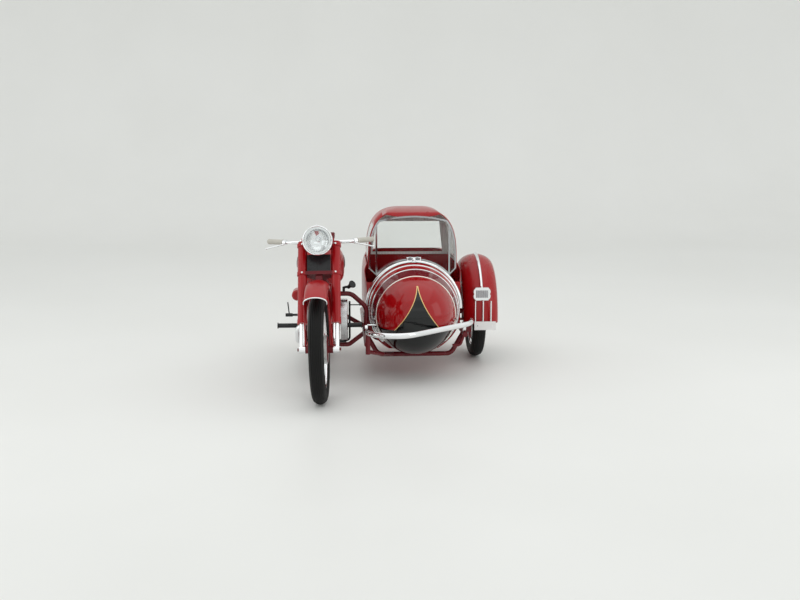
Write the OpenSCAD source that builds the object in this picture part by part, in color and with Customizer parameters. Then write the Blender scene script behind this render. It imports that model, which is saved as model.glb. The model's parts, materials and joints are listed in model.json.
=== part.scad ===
// Solo motorcycle with a closed single-seat sidecar on its left side.
// X points to the sidecar, Y points backwards and Z points up, with the floor at z = 0.

/* [Wheels] */
// Outer radius of all three tyres
tyre_r = 334; // [310:1:360]
// Width of a tyre's section
tyre_w = 92; // [80:1:110]
// Width of a rim over its flanges
rim_w = 68; // [60:1:72]
// Distance between the front and the rear axle
wheelbase = 1475; // [1430:1:1600]
// Distance from the rear wheel's plane to the sidecar wheel's plane
track = 1127; // [1110:1:1250]
// How far the sidecar's axle lies ahead of the rear axle
side_lead = 32; // [0:1:80]
// Outer radius of a brake drum
drum_r = 88; // [75:1:105]
// Radius of the wheel spindles
spindle_r = 9.5; // [8:0.1:12]
// Spokes on one side of a wheel
spokes = 14; // [10:1:20]

/* [Steering] */
// Rake of the fork from the vertical
rake = 27; // [24:0.5:30]
// Distance of the steering axis behind the fork legs
fork_offset = 67; // [60:1:72]
// Angle that the steering is turned by at rest
steer_rest = -3; // [-4:0.5:4]
// Half the distance between the fork legs
leg_half = 104; // [103:1:125]
// Outer radius of a fork leg's upper tube
leg_r = 29; // [28:0.5:34]
// Radius of a fork leg's sliding tube
stanchion_r = 19; // [16:0.5:22]
// Half the width of the handlebar at its ends
bar_half = 335; // [315:1:360]
// Radius of the handlebar tube
bar_r = 11; // [10:0.5:13]
// Radius of the headlamp's rim
lamp_r = 92; // [80:1:98]

/* [Motorcycle] */
// Outer radius of the mudguards of the motorcycle
guard_r = 425; // [415:1:440]
// Half the width of the mudguards of the motorcycle
guard_half = 67.5; // [62:0.5:70]
// Thickness of a mudguard's sheet
guard_wall = 2.5; // [1.5:0.1:4]
// Radius of the cradle tubes
cradle_r = 14; // [11:0.5:15]
// Half the distance between the cradle tubes
cradle_half = 105; // [104:0.5:108]
// Length of the fuel tank
tank_len = 530; // [480:1:540]
// Half the width of the fuel tank
tank_half = 155; // [130:1:165]
// Height of the fuel tank
tank_high = 275; // [230:1:285]
// Radius of the outside flywheel
flywheel_r = 140; // [110:1:145]
// Radius of the cylinder's fins
fin_r = 88; // [70:1:89]
// Radius of the silencer
silencer_r = 46; // [36:1:50]
// Length of a leg of the centre stand
stand_leg = 235; // [200:1:245]

/* [Sidecar] */
// Distance from the motorcycle's plane to the sidecar body's plane
side_x = 630; // [628:1:640]
// Half the width of the sidecar body
body_half = 345; // [330:1:346]
// Height of the body's floor above the ground
floor_z = 170; // [168:1:190]
// Height of the cockpit's side rails above the ground
rail_z = 740; // [720:1:745]
// Radius of the hoop round the cowl
hoop_r = 322; // [312:1:324]
// Length of the nose ahead of the hoop
nose_len = 465; // [430:1:470]
// Rear end of the body behind the front axle
tail_y = 2060; // [1960:1:2200]
// Thickness of the body's sheet
body_wall = 4; // [3:0.5:6]
// Radius of the chassis tubes
chassis_r = 18; // [15:0.5:19]
// Outer radius of the sidecar's mudguard
pod_r = 428; // [415:1:440]
// Half the width of the sidecar's mudguard
pod_half = 124; // [105:1:126]

/* [Canopy] */
// Half the width of the canopy
canopy_half = 310; // [305:1:311]
// Height of the canopy's roof above the ground
roof_z = 1130; // [1080:1:1200]
// Thickness of the canopy's shell
canopy_wall = 6; // [5:0.5:8]
// Thickness of the window panes
pane = 4; // [3:0.5:4.5]

/* [Hidden] */
$fn = 48;

seat = 0.3;      // gap between a piece and what carries it
run = 0.3;       // radial gap of a wheel's bore on its spindle

// The origin lies on the floor below the middle of the whole machine.
lever_reach = 12;
x_low = -(bar_half + lever_reach);
x_high = track + pod_half;
mid_x = (x_low + x_high) / 2;
mid_y = (tail_y - tyre_r) / 2;

// Wheel sizes
rim_seat = tyre_r - tyre_w;
rim_depth = 14;
rim_in = rim_seat - rim_depth;
bead_w = rim_w - 12;
hub_r = 27;
hub_half = 50;
flange_r = 46;
flange_z = 38;
drum_in = 8;
drum_wall = 6;
spoke_r = 2;
side_y = wheelbase - side_lead;

// Fork sizes, along the legs from the axle
tube_low = 165;
tube_high = 700;
low_yoke = 478;
low_yoke_h = 22;
top_yoke = 668;
top_yoke_h = 20;
stem_r = 13;
head_r = 30;
clamp_wall = 5;
lug_r = 19;
lug_half = stanchion_r;
boss_r = 24;

// Engine and frame places, behind the front axle and above the floor
crank_y = 725;
crank_z = 400;
gear_y = 905;
gear_z = 385;
gear_r = 82;
gear_left = 52;
gear_tooth_r = 31;
case_r = 130;
case_left = 110;
case_right = -95;
port_x = 92;
pivot_y = 1020;
pivot_z = 372;
pivot_r = 22;
cradle_z = 215;
stand_y = 985;
arm_half = 80;
arm_r = 11;
tank_mid_y = 652;
tank_low_z = 655;
peg_y = 885;
peg_z = 332;

// Sidecar places
wide_z = 470;
hoop_y = 852;
hoop_z = 450;
hoop_bar = 14;
nose_tilt = 4;
deck_z = 800;
tub_front = 858;
rear_cut = 1566;
cushion_y = 1077;
back_y = 1425;
shelf_z = 320;
chassis_in = 295;
chassis_out = 965;
chassis_z = 300;
bumper_z = 380;
bumper_r = 12;
hinge_y = 852;
hinge_z = 800;
screen_r = 520;
screen_y = 868;
frame_t = 12;
frame_bar = 12;
canopy_low = rail_z + 12;
canopy_y = 1168;
canopy_long = 392;
shell_r = screen_r - frame_t - 1;

paint = "firebrick";
dark_paint = "darkred";
chrome = "lightgray";
black = "dimgray";
alloy = "silver";
rubber = "#303030";
leather = "indianred";

// ---- Shared shapes ----

function unit(v) = v / norm(v);
function oval(a, b, n, t) =
  [a * sign(cos(t)) * pow(abs(cos(t)), 2 / n), b * sign(sin(t)) * pow(abs(sin(t)), 2 / n)];

// Puts a shape given from the front wheel's contact point into the part's frame.
module place() {
  translate([-mid_x, -mid_y, 0]) children();
}

module at_fork() {
  place() translate([0, 0, tyre_r]) rotate([-rake, 0, 0])
    translate([0, fork_offset, 0]) rotate([0, 0, steer_rest]) translate([0, -fork_offset, 0])
      children();
}

module at_steering() {
  at_fork() rotate([rake, 0, 0]) translate([0, 0, -tyre_r]) children();
}

module at_front_wheel() {
  at_steering() translate([0, 0, tyre_r]) rotate([0, 90, 0]) children();
}

module at_rear_wheel() {
  place() translate([0, wheelbase, tyre_r]) rotate([0, 90, 0]) children();
}

module at_side_wheel() {
  place() translate([track, side_y, tyre_r]) rotate([0, 90, 0]) children();
}

module at_body() {
  place() translate([side_x, 0, 0]) children();
}

// A round bar between two points.
module bar(a, b, r) {
  d = b - a;
  translate(a) rotate([0, acos(d.z / norm(d)), atan2(d.y, d.x)]) cylinder(h = norm(d), r = r);
}

// A tube along straight runs, with round bends between them. Each run reaches a little
// way into its bends, which are a hair thinner, so that the two always join.
module pipe(p, r, bend = 45) {
  lap = 1;
  thin = 0.06;
  last = len(p) - 1;
  dirs = [for (i = [0:last - 1]) unit(p[i + 1] - p[i])];
  cut = [for (i = [0:last])
    (i == 0 || i == last) ? 0 : bend * tan(acos(dirs[i - 1] * dirs[i]) / 2)];
  for (i = [0:last - 1])
    bar(p[i] + dirs[i] * (cut[i] - (i == 0 ? 0 : lap)),
        p[i + 1] - dirs[i] * (cut[i + 1] - (i == last - 1 ? 0 : lap)), r);
  for (i = [1:1:last - 1]) {
    u = dirs[i - 1];
    v = dirs[i];
    start = p[i] - u * cut[i];
    side = unit(v - u * (u * v));
    centre = start + side * bend;
    z = cross(-side, u);
    multmatrix([[-side.x, u.x, z.x, centre.x], [-side.y, u.y, z.y, centre.y],
                [-side.z, u.z, z.z, centre.z], [0, 0, 0, 1]])
      rotate_extrude(angle = acos(u * v)) translate([bend, 0]) circle(r - thin);
  }
}

// An outline in the Y-Z plane, given a thickness along X and centred on x = 0.
module slab_x(width) {
  translate([-width / 2, 0, 0]) rotate([90, 0, 90]) linear_extrude(width) children();
}

// An outline in the X-Z plane, pushed back along Y from y0 to y1.
module slab_y(y0, y1) {
  translate([0, y1, 0]) rotate([90, 0, 0]) linear_extrude(y1 - y0) children();
}

// ---- Wheels ----

module tyre_shape() {
  rotate_extrude() difference() {
    union() {
      translate([tyre_r - tyre_w / 2, 0]) circle(d = tyre_w);
      translate([rim_seat, -bead_w / 2]) square([tyre_w / 2, bead_w]);
    }
    translate([0, -tyre_w]) square([rim_seat + seat, tyre_w * 2]);
  }
}

module rim_shape() {
  lip = (rim_w - bead_w) / 2 - seat;
  rotate_extrude() {
    translate([rim_in, -rim_w / 2]) square([rim_depth, rim_w]);
    for (z = [-rim_w / 2, rim_w / 2 - lip]) translate([rim_seat - 1, z]) square([9, lip]);
  }
}

// Straight spokes from one flange of a hub to the rim.
module spoke_ring(from_r, from_z, to_z, lean) {
  for (i = [0:spokes - 1]) {
    a = (i + (from_z > 0 ? 0.5 : 0)) * 360 / spokes;
    b = a + (i % 2 == 0 ? lean : -lean);
    foot = from_r + seat + spoke_r * 0.35;
    start = [foot * cos(a), foot * sin(a), from_z];
    end = [(rim_in - 1) * cos(b), (rim_in - 1) * sin(b), to_z];
    bar(start, end, spoke_r);
  }
}

// A hub turned from one piece, with the brake drum open towards +Z when drum is set.
module hub_shape(drum) {
  difference() {
    union() {
      cylinder(h = hub_half * 2, r = hub_r, center = true);
      translate([0, 0, -flange_z - 3]) cylinder(h = 6, r = flange_r);
      if (drum) translate([0, 0, drum_in]) cylinder(h = hub_half - drum_in, r = drum_r);
      else translate([0, 0, flange_z - 3]) cylinder(h = 6, r = flange_r);
    }
    if (drum) translate([0, 0, drum_in + drum_wall]) difference() {
      cylinder(h = hub_half, r = drum_r - drum_wall);
      cylinder(h = hub_half - drum_in - drum_wall - 10, r = hub_r);
    }
    cylinder(h = hub_half * 3, r = spindle_r + run, center = true);
  }
  spoke_ring(flange_r, -flange_z, -5, 12);
  spoke_ring(drum ? drum_r : flange_r, drum ? drum_in + 8 : flange_z, 5, drum ? 8 : 12);
}

module front_tyre() {
  color(rubber) at_front_wheel() tyre_shape();
}

module front_rim() {
  color(chrome) at_front_wheel() rim_shape();
}

module front_hub() {
  color(alloy) at_front_wheel() hub_shape(true);
}

module rear_tyre() {
  color(rubber) at_rear_wheel() tyre_shape();
}

module rear_rim() {
  color(chrome) at_rear_wheel() rim_shape();
}

sprocket_r = 84;
chain_x = 62;

module rear_hub() {
  color(alloy) at_rear_wheel() {
    mirror([0, 0, 1]) hub_shape(true);
    difference() {
      translate([0, 0, hub_half]) cylinder(h = chain_x + 3 - hub_half, r = hub_r);
      cylinder(h = hub_half * 3, r = spindle_r + run);
    }
    difference() {
      translate([0, 0, chain_x - 3]) cylinder(h = 6, r = sprocket_r);
      cylinder(h = hub_half * 3, r = hub_r - 2);
    }
  }
}

module sidecar_tyre() {
  color(rubber) at_side_wheel() tyre_shape();
}

module sidecar_rim() {
  color(chrome) at_side_wheel() rim_shape();
}

module sidecar_hub() {
  color(alloy) at_side_wheel() mirror([0, 0, 1]) hub_shape(true);
}

// ---- Fork and handlebar ----

module fork_tubes() {
  color(paint) at_fork() for (x = [-leg_half, leg_half]) translate([x, 0, tube_low])
    difference() {
      union() {
        cylinder(h = tube_high - tube_low, r = leg_r);
        cylinder(h = 26, r = leg_r + 2.5);
      }
      translate([0, 0, -1]) cylinder(h = 116, r = stanchion_r + seat);
    }
}

module fork_stanchions() {
  color(chrome) at_fork() for (x = [-leg_half, leg_half]) translate([x, 0, 0])
    difference() {
      union() {
        cylinder(h = tube_low + 110, r = stanchion_r);
        rotate([0, 90, 0]) cylinder(h = lug_half * 2, r = lug_r + 3, center = true);
      }
      rotate([0, 90, 0]) cylinder(h = 100, r = spindle_r + seat, center = true);
    }
}

module yoke_outline() {
  difference() {
    union() {
      for (x = [-leg_half, leg_half]) translate([x, 0]) circle(leg_r + clamp_wall);
      translate([0, fork_offset]) circle(head_r + 4);
      polygon([[-leg_half, -28], [leg_half, -28], [leg_half, 28], [head_r, fork_offset + 10],
               [-head_r, fork_offset + 10], [-leg_half, 28]]);
    }
    for (x = [-leg_half, leg_half]) translate([x, 0]) circle(leg_r + seat);
  }
}

module fork_yokes() {
  color(dark_paint) at_fork() {
    translate([0, 0, low_yoke]) linear_extrude(low_yoke_h) yoke_outline();
    translate([0, 0, top_yoke]) linear_extrude(top_yoke_h) yoke_outline();
    translate([0, fork_offset, low_yoke + 2])
      cylinder(h = top_yoke - low_yoke, r = stem_r);
  }
}

plate_in = hub_half - 6;

module front_axle() {
  color(dark_paint) at_front_wheel() {
    cylinder(h = (leg_half + lug_half + 10) * 2, r = spindle_r, center = true);
    translate([0, 0, plate_in]) cylinder(h = 10, r = drum_r - drum_wall - 2);
    translate([0, 0, plate_in + 6])
      cylinder(h = leg_half - lug_half - seat - plate_in - 6, r = boss_r);
    translate([0, 0, -(leg_half - lug_half - seat)])
      cylinder(h = leg_half - lug_half - seat - hub_half - 2, r = boss_r);
  }
}

// A mudguard's section: straight skirts under a half-oval crown.
module guard_section(r, half, crown, skirt, wall) {
  function arch(d) = [for (t = [0:15:180])
    [r - crown + (crown - d) * sin(t), (half - d) * cos(t)]];
  polygon(concat([[r - crown - skirt, half]], arch(0), [[r - crown - skirt, -half],
    [r - crown - skirt, -half + wall]], [for (p = arch(wall)) [p.x, -p.y]],
    [[r - crown - skirt, half - wall]]));
}

module guard(r, half, crown, skirt, wall, low, sweep) {
  rotate([0, 0, low]) rotate_extrude(angle = sweep, $fn = 96)
    guard_section(r, half, crown, skirt, wall);
}

module front_mudguard() {
  stay_x = guard_half + 4;
  color(paint) at_steering() translate([0, 0, tyre_r]) {
    rotate([0, 90, 0]) guard(guard_r, guard_half, 38, 14, guard_wall, 80, 134);
    for (s = [-1, 1], a = [96, 206]) {
      tip = [0, sin(a), -cos(a)];
      bar([s * (leg_half - lug_half - 5), 0, 0] + tip * (boss_r + 4 + seat),
          [s * stay_x, 0, 0] + tip * (guard_r - 44), 4);
      bar([s * (stay_x - 4 - guard_wall / 2), 0, 0] + tip * (guard_r - 44),
          [s * (stay_x + 4), 0, 0] + tip * (guard_r - 44), 4);
    }
  }
  color(paint) at_fork() difference() {
    translate([-22, -14, guard_r - 12]) cube([44, 28, low_yoke - seat - guard_r + 12]);
    rotate([0, 90, 0]) cylinder(h = 60, r = guard_r - 2, center = true, $fn = 96);
  }
}

lamp_y = 165;
lamp_z = 985;

module headlamp() {
  ear_x = lamp_r - 4;
  color(paint) at_steering() {
    translate([0, lamp_y, lamp_z]) rotate([-90, 0, 0]) difference() {
      rotate_extrude() polygon(concat([[0, 0], [lamp_r, 0]],
        [for (t = [0:9:90]) [(lamp_r - 3) * cos(t), 16 + 98 * sin(t)]]));
      translate([0, 0, -1]) cylinder(h = 13, r = lamp_r - 7);
      translate([0, 0, -1]) cylinder(h = 50, r = lamp_r - 20);
    }
    for (s = [-1, 1]) {
      bar([s * (lamp_r - 14), lamp_y + 50, lamp_z], [s * (ear_x + 12), lamp_y + 50, lamp_z], 9);
      difference() {
        translate([s * (ear_x + 5), 0, 0]) slab_x(6) polygon([[lamp_y + 38, lamp_z - 10],
          [lamp_y + 56, lamp_z + 8], [288, 920], [282, 894]]);
        translate([0, 0, tyre_r]) rotate([-rake, 0, 0]) translate([s * leg_half, 0, 0])
          cylinder(h = tube_high + 50, r = leg_r + seat);
      }
    }
  }
}

module headlamp_glass() {
  color("white", 0.5) at_steering() translate([0, lamp_y, lamp_z]) rotate([-90, 0, 0])
    rotate_extrude() polygon(concat([[0, 11.7], [lamp_r - 7.3, 11.7], [lamp_r - 7.3, 0]],
      [for (t = [0:15:90]) [(lamp_r - 7.3) * cos(t), -9 * sin(t)]]));
}

module instrument() {
  color(dark_paint) at_fork() {
    translate([62, 12, top_yoke + top_yoke_h + seat]) cylinder(h = 34, r = 10);
    translate([62, 12, top_yoke + top_yoke_h + 30]) rotate([24, 0, 0])
      rotate_extrude() polygon([[0, 0], [24, 0], [36, 14], [38, 44], [34, 50], [0, 50]]);
  }
}

module fork_panel() {
  face = leg_half - leg_r - 2;
  color(black) at_fork() {
    translate([-face, -26, low_yoke + low_yoke_h + seat]) cube([face * 2, 24, 108]);
    for (s = [-1, 1], z = [16, 92])
      translate([s * (face - 14), -26, low_yoke + low_yoke_h + z])
        rotate([90, 0, 0]) cylinder(h = 5, r = 5);
  }
}

bar_y = 375;
bar_z = 955;
sweep_x = 175;
sweep = 37;
end_y = bar_y + (bar_half - sweep_x) * tan(sweep);
sweep_dir = [cos(sweep), sin(sweep), 0];
bar_end = [bar_half, end_y, bar_z];

module handlebar() {
  color(chrome) at_steering()
    pipe([[-bar_end.x, bar_end.y, bar_z], [-sweep_x, bar_y, bar_z], [sweep_x, bar_y, bar_z],
          bar_end], bar_r, 60);
  color(chrome) at_fork() for (x = [-45, 45]) difference() {
    translate([x - 11, 44, top_yoke + top_yoke_h + seat]) cube([22, 36, 46]);
    rotate([rake, 0, 0]) translate([0, 0, -tyre_r])
      translate([0, bar_y, bar_z]) rotate([0, 90, 0]) cylinder(h = 200, r = bar_r - 1, center = true);
  }
}

grip_len = 125;
grip_r = 16.5;

module handlebar_grips() {
  color("linen") at_steering() for (s = [-1, 1]) {
    flip = [s, 1, 1];
    outer = [for (i = [0:2]) (bar_end[i] + sweep_dir[i] * 4) * flip[i]];
    inner = [for (i = [0:2]) (bar_end[i] - sweep_dir[i] * grip_len) * flip[i]];
    difference() {
      bar(inner, outer, grip_r);
      bar(inner + (inner - outer) * 0.1, [bar_end.x * s, bar_end.y, bar_z], bar_r + seat);
    }
  }
}

module hand_levers() {
  color(chrome) at_steering() for (s = [-1, 1]) mirror([s < 0 ? 1 : 0, 0, 0]) {
    perch = [bar_end.x, bar_end.y, bar_z] - sweep_dir * (grip_len + 16);
    difference() {
      bar(perch - sweep_dir * 12, perch + sweep_dir * 12, bar_r + 7);
      bar(perch - sweep_dir * 30, perch + sweep_dir * 30, bar_r + seat);
    }
    pivot = perch + [6, -34, -10];
    bar(perch + [4, -14, -4], pivot, 6);
    bar(pivot, [bar_half + 6, bar_y - 12, bar_z - 34], 4.5);
    translate([bar_half + 6, bar_y - 12, bar_z - 34]) sphere(6);
  }
}

// ---- Motorcycle ----

head_low = [0, fork_offset * cos(rake) + (low_yoke + low_yoke_h) * sin(rake),
            tyre_r + (low_yoke + low_yoke_h) * cos(rake) - fork_offset * sin(rake)];
head_dir = [0, sin(rake), cos(rake)];
head_len = top_yoke - low_yoke - low_yoke_h;
spine_front = head_low + head_dir * (head_len * 0.55);
spine_rear = [0, pivot_y - 22, 690];
spine_r = 19;
stay_z = 715;

// The seat tube's straight run, grown by d.
module seat_tube(d) {
  bar(spine_rear, [0, pivot_y, pivot_z], spine_r + d);
}

module main_frame() {
  low_front = head_low + head_dir * 30 + [0, 26, 0];
  color(dark_paint) place() difference() {
    union() {
      bar(head_low + head_dir * 3, head_low + head_dir * (head_len - 3), head_r);
      pipe([spine_front, spine_rear, [0, pivot_y, pivot_z]], spine_r, 70);
      for (s = [-1, 1])
        pipe([[s * 12, low_front.y, low_front.z], [s * cradle_half, 430, 520],
              [s * cradle_half, 470, cradle_z + 60], [s * cradle_half, 560, cradle_z],
              [s * cradle_half, pivot_y - 12, cradle_z], [s * (cradle_half + 3), pivot_y, pivot_z]],
             cradle_r, 40);
      bar([-cradle_half - 5, pivot_y, pivot_z], [cradle_half + 5, pivot_y, pivot_z], pivot_r);
      bar([-cradle_half, stand_y, cradle_z], [cradle_half, stand_y, cradle_z], 8);
      bar([0, crank_y, crank_z + case_r + seat], [0, crank_y, 745], 12);
      bar([0, pivot_y - 52, 700], [0, pivot_y - 64, 738], 10);
      for (y = [520, 860])
        bar([-cradle_half, y + 60, cradle_z], [cradle_half, y + 60, cradle_z], 9);
    }
    bar(head_low - head_dir * 20, head_low + head_dir * (head_len + 20), stem_r + 1);
  }
}

module rear_frame() {
  color(dark_paint) place() for (s = [-1, 1]) difference() {
    union() {
      bar([s * arm_half, pivot_y + 27, pivot_z - 2], [s * arm_half, wheelbase + 30, tyre_r], arm_r);
      bar([s * (arm_half - arm_r), pivot_y, pivot_z], [s * (arm_half + 10), pivot_y, pivot_z],
          pivot_r + 9);
      bar([s * (arm_half - arm_r), wheelbase, tyre_r], [s * (arm_half + 12), wheelbase, tyre_r], 25);
      pipe([[s * 13, pivot_y - 12, 604], [s * 88, pivot_y + 70, 688],
            [s * 88, wheelbase + 40, stay_z]], 12, 50);
      bar([s * 88, wheelbase - 55, stay_z - 3], [s * arm_half, wheelbase - 25, tyre_r + 6], 11);
      bar([s * 70, pivot_y + 110, 690], [s * 70, pivot_y + 110, 741], 14);
      bar([s * 88, pivot_y + 110, 691], [s * 60, pivot_y + 110, 691], 8);
    }
    seat_tube(seat);
    bar([s * 50, pivot_y, pivot_z], [s * 150, pivot_y, pivot_z], pivot_r + seat);
    bar([s * 50, wheelbase, tyre_r], [s * 150, wheelbase, tyre_r], spindle_r + seat);
  }
}

module crankcase() {
  color(alloy) place() {
    bar([case_right, crank_y, crank_z], [case_left, crank_y, crank_z], case_r);
    translate([(gear_left + case_right) / 2, 0, 0]) slab_x(gear_left - case_right) {
      translate([gear_y, gear_z]) circle(gear_r);
      polygon([[crank_y, crank_z - case_r + 2], [gear_y, gear_z - gear_r],
               [gear_y, gear_z + gear_r], [crank_y, crank_z + case_r - 2]]);
    }
    bar([0, crank_y - case_r - 5, crank_z], [0, crank_y, crank_z], 66);
    bar([gear_left - 2, gear_y, gear_z], [chain_x + 3, gear_y, gear_z], gear_tooth_r);
  }
}

module cylinder_barrel() {
  base = crank_y - case_r - 5 - seat;
  head = 455;
  pitch = 14;
  color(alloy) place() {
    translate([0, base, crank_z]) rotate([90, 0, 0]) {
      cylinder(h = base - head, r = 58);
      for (i = [0:6]) translate([0, 0, 8 + i * pitch]) cylinder(h = 5, r = fin_r);
      translate([0, 0, 7 * pitch + 4]) cylinder(h = base - head - 7 * pitch - 4, r = fin_r - 12);
    }
    bar([0, head + 38, crank_z - 10], [-port_x, head + 38, crank_z - 10], 26);
  }
}

module flywheel() {
  color(chrome) place() translate([case_left + seat, crank_y, crank_z]) rotate([0, 90, 0])
    rotate_extrude() polygon([[0, 0], [20, 0], [20, 22], [70, 26], [flywheel_r - 26, 26],
      [flywheel_r - 26, 16], [flywheel_r - 4, 16], [flywheel_r, 20], [flywheel_r, 60],
      [flywheel_r - 4, 64], [flywheel_r - 26, 64], [flywheel_r - 30, 56], [36, 52], [30, 66],
      [0, 66]]);
}

module exhaust() {
  x = -152;
  z = 262;
  color(chrome) place() {
    pipe([[-port_x - seat, 493, crank_z - 10], [x, 493, crank_z - 10], [x, 560, z + 30],
          [x, 700, z], [x, 1040, z]], 20, 40);
    translate([x, 1030, z]) rotate([-90, 0, 0]) rotate_extrude()
      polygon([[0, 0], [21, 0], [silencer_r, 90], [silencer_r, 480], [26, 600], [20, 600],
               [20, 560], [0, 560]]);
    hung = [x, 1350, z];
    arm = [-arm_half, 1350, pivot_z - (pivot_z - tyre_r) * (1350 - pivot_y) / (wheelbase - pivot_y)];
    reach = unit(arm - hung);
    bar(hung + reach * (silencer_r - 6), arm - reach * (arm_r + seat * 2), 7);
  }
}

module carburettor() {
  top = crank_z + fin_r - 12;
  color(alloy) place() {
    translate([0, 472.5, top + seat]) cylinder(h = 70, r = 17);
    bar([0, 462, top + 58], [0, 580, top + 58], 25);
    translate([0, 520, top + 20]) cylinder(h = 100, r = 20);
  }
}

module tank_oval(a, b, n) {
  polygon([for (t = [0:6:354]) oval(a, b, n, t)]);
}

module fuel_tank() {
  mid_z = tank_low_z + tank_high * 0.46;
  half_len = tank_len / 2;
  color(paint) place() difference() {
    union() {
      intersection() {
        slab_x(tank_half * 2) translate([tank_mid_y, mid_z]) union() {
          intersection() {
            tank_oval(half_len, tank_high * 0.54, 2.5);
            translate([-half_len, 0]) square([tank_len, tank_high]);
          }
          intersection() {
            tank_oval(half_len, tank_high * 0.46, 3.2);
            translate([-half_len, -tank_high]) square([tank_len, tank_high]);
          }
        }
        slab_y(tank_mid_y - half_len, tank_mid_y + half_len) translate([0, mid_z]) union() {
          intersection() {
            tank_oval(tank_half, tank_high * 0.54, 2.4);
            translate([-tank_half, 0]) square([tank_half * 2, tank_high]);
          }
          intersection() {
            tank_oval(tank_half, tank_high * 0.46, 4);
            translate([-tank_half, -tank_high]) square([tank_half * 2, tank_high]);
          }
        }
        translate([0, tank_mid_y, 0]) linear_extrude(2000) tank_oval(tank_half, half_len, 2.6);
      }
      translate([0, tank_mid_y - 90, tank_low_z + tank_high - 16]) cylinder(h = 22, r = 30);
    }
    translate(spine_front)
      rotate([atan2(spine_rear.z - spine_front.z, spine_rear.y - spine_front.y), 0, 0])
        translate([-spine_r - 5, -60, -400]) cube([spine_r * 2 + 10, 900, 400 + spine_r + seat]);
  }
}

module saddle() {
  color(leather) place() translate([0, 0, 741 + seat]) linear_extrude(58) {
    translate([0, 966]) circle(42);
    for (s = [-1, 1]) translate([s * 62, 1130]) circle(86);
    polygon([[-38, 949], [38, 949], [146, 1110], [-146, 1110]]);
  }
}

pad_z = tyre_r + guard_r + 16;

module pillion_pad() {
  color(leather) place() translate([0, 0, pad_z + seat]) linear_extrude(48) {
    translate([-100, 1300]) square([200, 240]);
    translate([-70, 1270]) square([140, 300]);
    for (s = [-1, 1], y = [1300, 1540]) translate([s * 70, y]) circle(30);
  }
}

module rear_mudguard() {
  color(paint) at_rear_wheel() guard(guard_r, guard_half, 38, 14, guard_wall, 84, 166);
  color(paint) place() {
    for (y = [1330, 1500]) difference() {
      translate([-20, y - 12, pad_z - 90]) cube([40, 24, 90]);
      translate([0, wheelbase, tyre_r]) rotate([0, 90, 0])
        cylinder(h = 60, r = guard_r - 2, center = true, $fn = 96);
    }
    for (s = [-1, 1])
      bar([s * (guard_half - 2), wheelbase + 20, stay_z], [s * (88 - 12 - seat), wheelbase + 20, stay_z], 6);
  }
}

module rear_axle() {
  color(dark_paint) at_rear_wheel() {
    cylinder(h = (arm_half + 24) * 2, r = spindle_r, center = true);
    mirror([0, 0, 1]) translate([0, 0, plate_in]) {
      cylinder(h = 10, r = drum_r - drum_wall - 2);
      cylinder(h = arm_half - arm_r - seat - plate_in, r = boss_r);
    }
    translate([0, 0, chain_x + 5]) cylinder(h = arm_half - arm_r - seat - chain_x - 5, r = 16);
  }
}

// The loop round the gearbox sprocket and the rear sprocket.
module belt(r0, r1) {
  gap = norm([wheelbase - gear_y, tyre_r - gear_z]);
  lean = asin((r1 - r0) / gap);
  translate([gear_y, gear_z]) circle(r0);
  translate([wheelbase, tyre_r]) circle(r1);
  drop = atan2(tyre_r - gear_z, wheelbase - gear_y);
  polygon([for (q = [[gear_y, gear_z, r0, 1], [wheelbase, tyre_r, r1, 1],
                     [wheelbase, tyre_r, r1, -1], [gear_y, gear_z, r0, -1]])
    [q[0], q[1]] + (q[2] - 0.1) * [cos(drop + q[3] * (90 + lean)), sin(drop + q[3] * (90 + lean))]]);
}

module drive_chain() {
  color(black) place() translate([chain_x, 0, 0]) slab_x(10) difference() {
    belt(gear_tooth_r + 12, sprocket_r + 14);
    belt(gear_tooth_r + seat, sprocket_r + 2);
  }
}

module tool_canister() {
  color(paint) place() {
    translate([-165, 780, 555]) rotate([-90, 0, 0]) rotate_extrude()
      polygon([[0, 0], [26, 0], [36, 12], [36, 138], [26, 150], [0, 150]]);
    difference() {
      bar([-140, 880, 562], [0, pivot_y - 14, 575], 8);
      seat_tube(seat);
      bar([0, pivot_y - 14, 560], [100, pivot_y - 14, 590], 60);
    }
  }
}

module foot_controls() {
  color(black) place() {
    bar([case_right - seat, peg_y, peg_z], [-180, peg_y, peg_z], 10);
    pipe([[cradle_half + cradle_r + seat, peg_y, cradle_z + 2], [168, peg_y, cradle_z + 2],
          [168, peg_y, peg_z]], 9, 20);
    for (x = [[-165, -300], [158, 268]]) {
      bar([x[0], peg_y, peg_z], [x[1], peg_y, peg_z], 16);
      bar([x[1], peg_y, peg_z], [x[1] + sign(x[1]) * 6, peg_y, peg_z], 21);
    }
    bar([case_right - seat, 850, 412], [-215, 850, 412], 8);
    bar([-200, 850, 412], [-248, 850, 412], 12);
    bar([-222, 850, 412], [-232, 850, 500], 4);
    pipe([[cradle_half + cradle_r + seat, 940, cradle_z], [190, 940, cradle_z],
          [190, 905, 495]], 7, 24);
    bar([190, 906, 470], [262, 906, 470], 4);
    translate([262, 906, 470]) sphere(7);
  }
}

arch_z = 575;
arch_y = crank_y - 5;

module horn() {
  foot = [150, arch_y, arch_z + 16 + seat];
  tip = [188, arch_y - 12, arch_z + 50];
  color(black) place() {
    bar(foot, foot + [0, 0, 30], 9);
    bar(foot + [0, 0, 25], tip, 8);
    translate(tip) rotate([60, 0, 40]) rotate_extrude()
      polygon([[0, -14], [12, -14], [14, 10], [26, 34], [26, 38], [0, 38]]);
  }
}

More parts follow.
